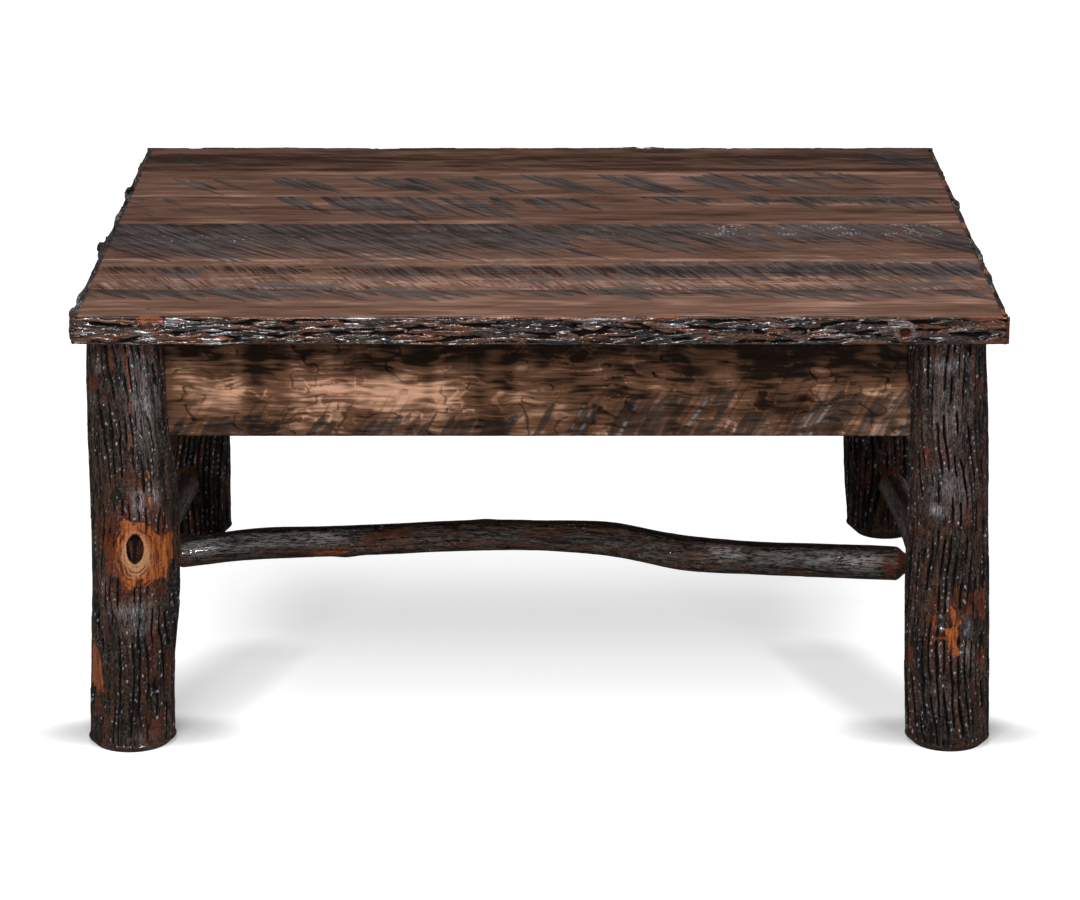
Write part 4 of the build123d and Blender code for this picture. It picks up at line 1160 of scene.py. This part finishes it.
def bark_edge(where, material):
    """Strip of bark along one side of the top, in long flakes that overlap.

    The flakes' height is taken from the bark's thickness, and lumps stand out from it."""
    in_front = where == "front"
    half = BOARD_END + BARK_THICKNESS if where in ("front", "back") else FIELD_EDGE
    seed = {"front": 709, "back": 743, "left": 787, "right": 821}[where]
    u = np.linspace(-half, half, 1100 if in_front else 580)
    outline, normals, run = edge_section(52 if in_front else 30)
    grid = grid_u, grid_s = np.meshgrid(u, run, indexing="ij")
    height, plate = flake_field(u, run, 30.0, 4.4, seed)
    height = height + 0.35 * layered(grid, (9, 1.6), seed + 3) + 0.5 * layered(grid, (45, 12), seed + 4)
    depth = 4.2 - height
    # Deep hollows between flakes are dark, partly as dark bark and partly as painted shade under the flakes.
    dark = fade(2.6, 4.0, depth)
    # Some flakes get a painted sheen, where the varnish also pools.
    shine = fade(0.55, 0.8, plate) * fade(0.0, 0.4, noise(grid, (35, 9), seed + 5))
    bare = fade(0.35, 0.5, noise(grid, (22, 3), seed + 6)) * fade(2.2, 3.2, depth)
    if in_front:
        depth, dark, bare, shine = edge_features(grid_u, grid_s, depth, dark, bare, shine)
    # Beads become painted glints.
    bead_row = grid_s / 4.0 + 0.4 * noise(grid, (14, 5), seed + 8)
    beads = fade(0.2, 0.6, dots(grid_u / 5.0, bead_row, 0.2, 0.25, seed + 9))
    swell = 0 * grid_u
    for place, half_length, rise in EDGE_LUMPS[where]:
        swell = swell + rise * hump((grid_u - place) / half_length)
    depth = depth - swell * (0.45 + 0.55 * fade(0, 8, outline[:, 1]))
    outer = np.abs(normals).sum(1) > 0
    top_face = normals[:, 1] > 0.9
    depth = np.minimum(depth * np.where(top_face, 0.3, outer), BARK_THICKNESS - 1.2)
    depth = np.where(top_face, np.maximum(depth, 0), depth)
    out = outline[:, 0] - normals[:, 0] * depth
    if in_front:
        near_left = np.clip((grid_u + half) / 5.0, 0, 1)
        near_right = np.clip((half - grid_u) / 4.5, 0, 1)
        rounded = np.sqrt(1 - (1 - near_left) ** 2) * 0.9 + 0.1
        out = out * np.minimum(rounded, 0.25 + 0.75 * near_right)
        bare = np.maximum(bare, (1 - near_right) * fade(0.3, 1.0, out))
    up = UNDERSIDE + outline[:, 1] - normals[:, 1] * depth
    chance = {"front": 0.15, "back": -0.5, "left": -0.9, "right": -0.45}[where]
    cambium = fade(-0.1, 0.2, noise((grid_u, 0 * grid_s + 1.5), (40, 1), seed + 20) + chance)
    bare = np.maximum(bare, top_face * cambium)
    beads = 0.7 * beads * fade(0.2, 0.6, 1 - dark)
    marks = dict(zip(BARK_MARKS, (dark * outer, plate, bare, 0 * depth, shine, beads)))
    faces = (BOARD_END, FIELD_EDGE)
    points = facing_out(where, faces, grid_u, out, up)
    return skin(f"{where}_bark_edging", points, marks, material, [f"bark_edge_{where}"])


def edge_features(grid_u, grid_s, depth, dark, bare, shine):
    """A scooped notch under the front strip's upper edge, and a small knot in a ring.

    The notch is an ellipse with smooth striped wood in it. The knot's ring is where its
    distance lies near 1, and its hole where the distance is under 0.6."""
    notch = np.hypot((grid_u + 381) / 15.0, (grid_s - 31.0) / 12.0)
    scooped = 1 - fade(0.8, 1.05, notch)
    stripes = 0.35 * noise((grid_u / 3 + grid_s / 4, grid_s), (1, 14), 17)
    depth = depth + scooped * (4.6 - 1.2 * notch + stripes - depth)
    rim = scooped * fade(27.0, 30.0, grid_s + 1.5 * notch)
    bare = np.maximum.reduce([bare * (1 - scooped), scooped * 0.3, rim])
    dark = dark * (1 - scooped) + 0.3 * scooped * fade(0.3, 0.9, notch + 2 * stripes) * (1 - rim)
    at = np.hypot((grid_u - 357) / 9.0, (grid_s - 18.5) / 8.0)
    collar = hump((at - 1.0) / 0.25)
    hole = 1 - fade(0.45, 0.65, at)
    depth = depth + collar * (1.0 - depth) * 0.85
    depth = depth + hole * (4.8 - depth)
    dark = np.maximum(dark * (1 - collar), 0.75 * hole)
    bare = np.maximum(bare, 0.7 * (1 - fade(0.5, 0.8, at)))
    # The knot's collar gets a painted sheen.
    return depth, dark, bare, np.maximum(shine, 0.5 * collar)


# ------------------------------------------------------------------ stretchers
SAPLING_STYLE = {
    "sway": 0.8, "split": -0.35, "fissure_width": 0.55, "fissure_length": 22.0, "plate_length": 60.0,
    "bead_pitch": 6.0, "furrow": 0.6, "terrace": 0.25, "crown": 0.15, "fine": 0.3, "ridge": 0.2, "lump": 0.9,
}
# Stations of each sapling: sideways drift, rise and radius at even steps
SIDE_SAPLINGS = {
    "left": ((5, 1, 16.6), (13, 3.5, 17.8), (18.8, 5.6, 18.2), (15.5, 4, 17.8), (6.5, 1.5, 16.8)),
    "right": ((4, 0, 17), (12.5, -3.5, 18.2), (18, -6.1, 18.6), (16, -4, 18.4), (4.5, -0.5, 16.8)),
}
CENTRE_SAPLING = (
    (0.0, 6.0, 17.0), (0.5, 16.0, 18.2), (2.0, 18.6, 18.1), (3.0, 21.4, 17.9), (3.0, 25.2, 17.9),
    (1.5, 25.6, 17.7), (-1.0, 22.2, 19.6), (-2.5, 7.2, 20.2), (-2.0, 0.8, 19.4), (-0.5, -3.0, 19.6),
    (0.0, -6.1, 19.6),
)
SAPLING_LANES = 15
SIDE_END = LEG_Y - 82           # where a side sapling starts to taper into the leg
CENTRE_ENDS = (-(STRETCHER_X + 18.8) + 34, STRETCHER_X + 18.0 - 34)


def sapling_rings(ends, stations, tenon, seed, points, bared=(), shines=(), knobs=()):
    """Middle line and bark of a sapling along one axis, with a taper and a tenon at each end.

    Gives the places along the axis, and for each point of a ring its sideways and upward
    distance from the axis, with the marks. Past the stations the middle line runs on
    straight, and the radius falls to the tenon's along the taper. The tenon is told by its
    taper, radius and length. Spots have a place along, degrees round, half length and half
    width, and the strength of what they show."""
    (start, finish), (taper, tenon_radius, tenon_length), (count, around) = ends, tenon, points
    stops = np.linspace(0, 1, len(stations))
    drift, rise, radius = np.array(stations).T
    mean = radius.mean()
    tail = np.concatenate([
        np.linspace(0, taper, 16)[1:], np.linspace(taper, taper + tenon_length, 6)[1:]
    ])
    along = np.concatenate([start - tail[::-1], np.linspace(start, finish, count), finish + tail])
    at = np.clip((along - start) / (finish - start), 0, 1)
    past = np.maximum(start - along, along - finish)
    size = smooth_curve(stops, radius, at)
    tapered = 0.5 * np.clip(past / taper, 0, 1) + 0.5 * fade(0, taper, past)
    size = size + (tenon_radius - size) * tapered
    turn = np.linspace(0, 1, around, endpoint=False)
    grid, angle = np.meshgrid(along, tau * turn, indexing="ij")
    solid = (grid, mean * np.cos(angle), mean * np.sin(angle))
    lane = SAPLING_LANES * angle / tau
    width = tau * mean / SAPLING_LANES
    depth, dark, plate, beads = bark_relief(solid, lane, SAPLING_LANES, width, SAPLING_STYLE, seed)
    # Painted shade: the sapling is darker along its top and much darker on its underside.
    upward = np.sin(angle - 0.15)
    dark = np.maximum.reduce([dark, 0.5 * fade(0.86, 0.99, upward), 0.62 * fade(0.25, 0.95, -upward)])
    barked = (1 - fade(0.0, 4.0, past))[:, None]
    depth = depth * barked

    def shares(spot):
        """How far each point lies from a spot, along and round, in its half length and width."""
        gap = np.mod(angle - radians(spot[1]) + np.pi, tau) - np.pi
        return (grid - spot[0]) / spot[2], gap * mean / spot[3]

    for spot in knobs:
        depth = depth - spot[4] * hump(*shares(spot))
    bare = 0.8 * (1 - barked) + 0 * depth
    for spot in bared:
        near = np.hypot(*shares(spot)) + 0.35 * noise(solid, (9, 3, 3), seed + 30)
        bare = np.maximum(bare, spot[4] * (1 - fade(0.7, 1.1, near)))
    # Spots of painted sheen, where the varnish also pools.
    shine = 0 * depth
    for spot in shines:
        shine = np.maximum(shine, spot[4] * hump(*shares(spot)))
    reach = size[:, None] - depth
    side = smooth_curve(stops, drift, at)[:, None] + reach * np.cos(angle)
    up = smooth_curve(stops, rise, at)[:, None] + reach * np.sin(angle)
    # Beads become painted glints.
    beads = 0.8 * fade(0.2, 0.6, beads * barked)
    marks = (dark * barked, plate, bare, 0 * depth, np.minimum(shine, 1), beads)
    return grid, side, up, dict(zip(BARK_MARKS, marks))


def side_stretcher(where, material):
    """Sapling between a front and a back leg, bowed outwards."""
    # One spot of painted sheen on the upper side.
    grid, side, up, marks = sapling_rings(
        (-SIDE_END, SIDE_END), SIDE_SAPLINGS[where], (34.0, 12.0, 34.0),
        {"left": 907, "right": 941}[where], (340, 80), ((150, 60, 30, 6, 0.8),), ((-60, 80, 90, 8, 0.7),),
    )
    points = facing_out(where, (STRETCHER_X, 0), grid, side, STRETCHER_HEIGHT + up)
    name = f"{where}_sapling_stretcher"
    return skin(name, points, marks, material, [f"stretcher_{where}"])


def centre_stretcher(material):
    """Bent sapling between the middles of the side stretchers."""
    bared = (
        (-235, -150, 26, 6, 1.0), (-330, -60, 40, 5, 0.5), (384, -90, 6, 40, 0.8), (20, -110, 30, 5, 0.5),
    )
    # Bands of painted sheen along the upper front of the sapling.
    shines = (
        (-330, -212, 62, 10, 1.5), (-262, -216, 36, 9, 1.5), (205, -214, 22, 8, 1.4),
        (290, -212, 60, 9, 1.2), (350, -206, 30, 8, 1.2),
    )
    knobs = ((-213, -100, 12, 8, 1.8), (-60, 80, 14, 10, 1.2))
    grid, side, up, marks = sapling_rings(
        CENTRE_ENDS, CENTRE_SAPLING, (11.0, 11.2, 29.0), 977, (580, 100), bared, shines, knobs
    )
    points = np.stack([grid, side, STRETCHER_HEIGHT + up], -1)
    return skin("centre_sapling_stretcher", points, marks, material, ["stretcher_centre"])


# ------------------------------------------------------------------ making it all
def grain_along(axis, along, across):
    """Cells in a metre on X, Y and Z, for a pattern that is stretched along one of them."""
    return tuple(along if letter == axis else across for letter in "xyz")


LEG_BARK = bark_material(
    "varnished hickory bark",
    {"Grey": (0.0205, 0.0132, 0.0092, 1), "Brown": (0.022, 0.0098, 0.0054, 1)},
    grain_along("z", 45.0, 330.0), (0.05, 0.8, 360.0), 0.0018,
)
EDGE_LOOKS = {
    "x": ({"Grey": (0.025, 0.020, 0.018, 1), "Brown": (0.047, 0.0172, 0.0078, 1)}, (0.3, 0.7, 360.0)),
    "y": ({"Grey": (0.016, 0.013, 0.012, 1), "Brown": (0.024, 0.012, 0.008, 1)}, (0.35, 0.8, 360.0)),
}
# Sapling bark, with a pale sheen colour that is a painted highlight.
SAPLING_COLOURS = {
    "Grey": (0.062, 0.050, 0.042, 1), "Brown": (0.050, 0.027, 0.017, 1), "Sheen": (0.50, 0.45, 0.43, 1),
}
# Sawn wood's dark, middle and light browns, its smoky grey, and the blue grey of saw marks in it
TOP_COLOURS = (
    (0.026, 0.012, 0.0072, 1), (0.108, 0.056, 0.039, 1), (0.30, 0.173, 0.130, 1),
    (0.037, 0.031, 0.030, 1), (0.014, 0.012, 0.013, 1),
)
APRON_COLOURS = (
    (0.008, 0.0037, 0.002, 1), (0.080, 0.038, 0.021, 1), (0.38, 0.21, 0.135, 1),
    (0.020, 0.0125, 0.009, 1), (0.024, 0.021, 0.022, 1),
)
TOP_WOOD = sawn_material("sawn top boards", TOP_COLOURS, grain_along("x", 8.0, 150.0), (0.02, 0.05, 300.0))
FRAME_WOOD = planed_material(
    "planed frame wood", (0.33, 0.20, 0.11, 1), (0.20, 0.11, 0.055, 1), grain_along("y", 9.0, 150.0)
)
STEEL = steel_material()

EDGE_BARK, SAPLING_BARK, APRON_WOOD = {}, {}, {}
for axis in "xy":
    colours, gloss = EDGE_LOOKS[axis]
    EDGE_BARK[axis] = bark_material(
        f"varnished edge bark along {axis}", colours, grain_along(axis, 45.0, 330.0), gloss, 0.0018
    )
    SAPLING_BARK[axis] = bark_material(
        f"varnished sapling bark along {axis}", SAPLING_COLOURS, grain_along(axis, 40.0, 330.0),
        (0.15, 0.7, 330.0), 0.0010,
    )
    APRON_WOOD[axis] = sawn_material(
        f"sawn apron along {axis}", APRON_COLOURS, grain_along(axis, 12.0, 300.0), (0.03, 0.15, 300.0)
    )

for where in LEGS:
    leg_surface(where, LEG_BARK)
for number in range(len(BOARDS)):
    top_board(number, TOP_WOOD)
for where, axis in (("front", "x"), ("back", "x"), ("left", "y"), ("right", "y")):
    apron_board(where, APRON_WOOD[axis])
    bark_edge(where, EDGE_BARK[axis])
    if axis == "y":
        side_stretcher(where, SAPLING_BARK[axis])
centre_stretcher(SAPLING_BARK["x"])

for name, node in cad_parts.items():
    node.data.materials.clear()
    node.data.materials.append(STEEL if "screws" in name or "brads" in name else FRAME_WOOD)


# ------------------------------------------------------------------ floor, light and camera
def floor_material():
    """Pale floor that glows white to the camera, with painted shadows where that glow is turned
    down, so that the floor's own lit shade shows there.

    One painted shadow lies below the object, a slanting band runs back and inwards from each
    front foot, and a flat ellipse lies under the foot itself. Both sides share the mirrored X."""
    material, tree, _ = blank_material("pale floor")
    tree.nodes.clear()
    place = object_place(tree)
    outwards = abs(put(tree, "SeparateXYZ", {"Vector": place}, "X"))
    back = put(tree, "SeparateXYZ", {"Vector": place}, "Y")
    below = outwards.eased(0.24, 0.42, 0.4, 0.0) * abs(back + 0.05).eased(0.05, 0.4, 1.0, 0.0)
    band = abs(outwards + back * 0.444 - 0.2535).eased(0.02, 0.12, 0.5, 0.0)
    band = band * back.eased(-0.345, -0.29) * back.eased(-0.1, 0.06, 1.0, 0.0)
    shade = below.maths("SMOOTH_MAX", band, 0.08)
    beside = (outwards - 0.415) * (1 / 0.12)
    before = (back + 0.322) * (1 / 0.05)
    painted_foot_shadow = (beside * beside + before * before).maths("SQRT").eased(0.4, 1.3, 0.35, 1.0)
    seen = put(tree, "LightPath", output="Is Camera Ray")
    glow = put(tree, "Emission", {"Color": (1, 1, 1, 1), "Strength": seen * shade.from_one() * painted_foot_shadow})
    matt = put(tree, "BsdfDiffuse", {"Color": (0.36, 0.36, 0.36, 1)})
    surface = put(tree, "AddShader", {0: matt, 1: glow})
    connect(tree, tree.nodes.new("ShaderNodeOutputMaterial"), {"Surface": surface})
    return material


FLOOR = (-12, 12, -8, 20)       # metres: left, right, front and back
FLOOR_HEIGHT = -0.0003
left, right, front, back = FLOOR
floor_mesh = bpy.data.meshes.new("floor")
floor_corners = ((left, front), (right, front), (right, back), (left, back))
floor_mesh.from_pydata([(x, y, FLOOR_HEIGHT) for x, y in floor_corners], [], [(0, 1, 2, 3)])
floor_mesh.materials.append(floor_material())
floor = bpy.data.objects.new("floor", floor_mesh)
bpy.context.scene.collection.objects.link(floor)

world = bpy.data.worlds.new("studio")
world.use_nodes = True
sky = world.node_tree
strength = put(sky, "LightPath", output="Is Camera Ray").eased(0.0, 1.0, 0.12, 1.0)
connect(sky, sky.nodes["Background"], {"Color": (1, 1, 1, 1), "Strength": strength})
bpy.context.scene.world = world


def soft_light(name, place, aim, size, power):
    """Square studio light that faces a point."""
    lamp = bpy.data.lights.new(name, "AREA")
    lamp.size = size
    lamp.energy = power
    light = bpy.data.objects.new(name, lamp)
    light.location = place
    x, y, z = np.subtract(aim, place)
    light.rotation_euler = (np.arctan2(np.hypot(x, y), -z), 0, np.arctan2(x, -y) + np.pi)
    bpy.context.scene.collection.objects.link(light)


soft_light("front softbox", (-0.3, -2.3, 2.3), (0, 0, 0.3), 1.0, 80)
soft_light("overhead softbox", (0.2, 0.3, 3.0), (0, 0, 0.4), 2.0, 40)
soft_light("small left spot", (-1.2, -2.8, 1.2), (0, 0, 0.3), 0.25, 22)
soft_light("small right spot", (1.4, -2.6, 1.0), (0, 0, 0.3), 0.25, 18)

CAMERA_PLACE = (0.0, -3.923, 1.409)
CAMERA_DOWN = 17.07             # degrees below level
SENSOR_WIDTH = 36
FOCAL_SHARE = 3757 / 1080       # focal length in widths of the picture
camera = bpy.data.objects.new("camera", bpy.data.cameras.new("camera"))
bpy.context.scene.collection.objects.link(camera)
camera.location = CAMERA_PLACE
camera.rotation_euler = (radians(90 - CAMERA_DOWN), 0, 0)
camera.data.sensor_width = SENSOR_WIDTH
camera.data.lens = FOCAL_SHARE * SENSOR_WIDTH
bpy.context.scene.camera = camera
bpy.context.scene.view_settings.view_transform = "Standard"
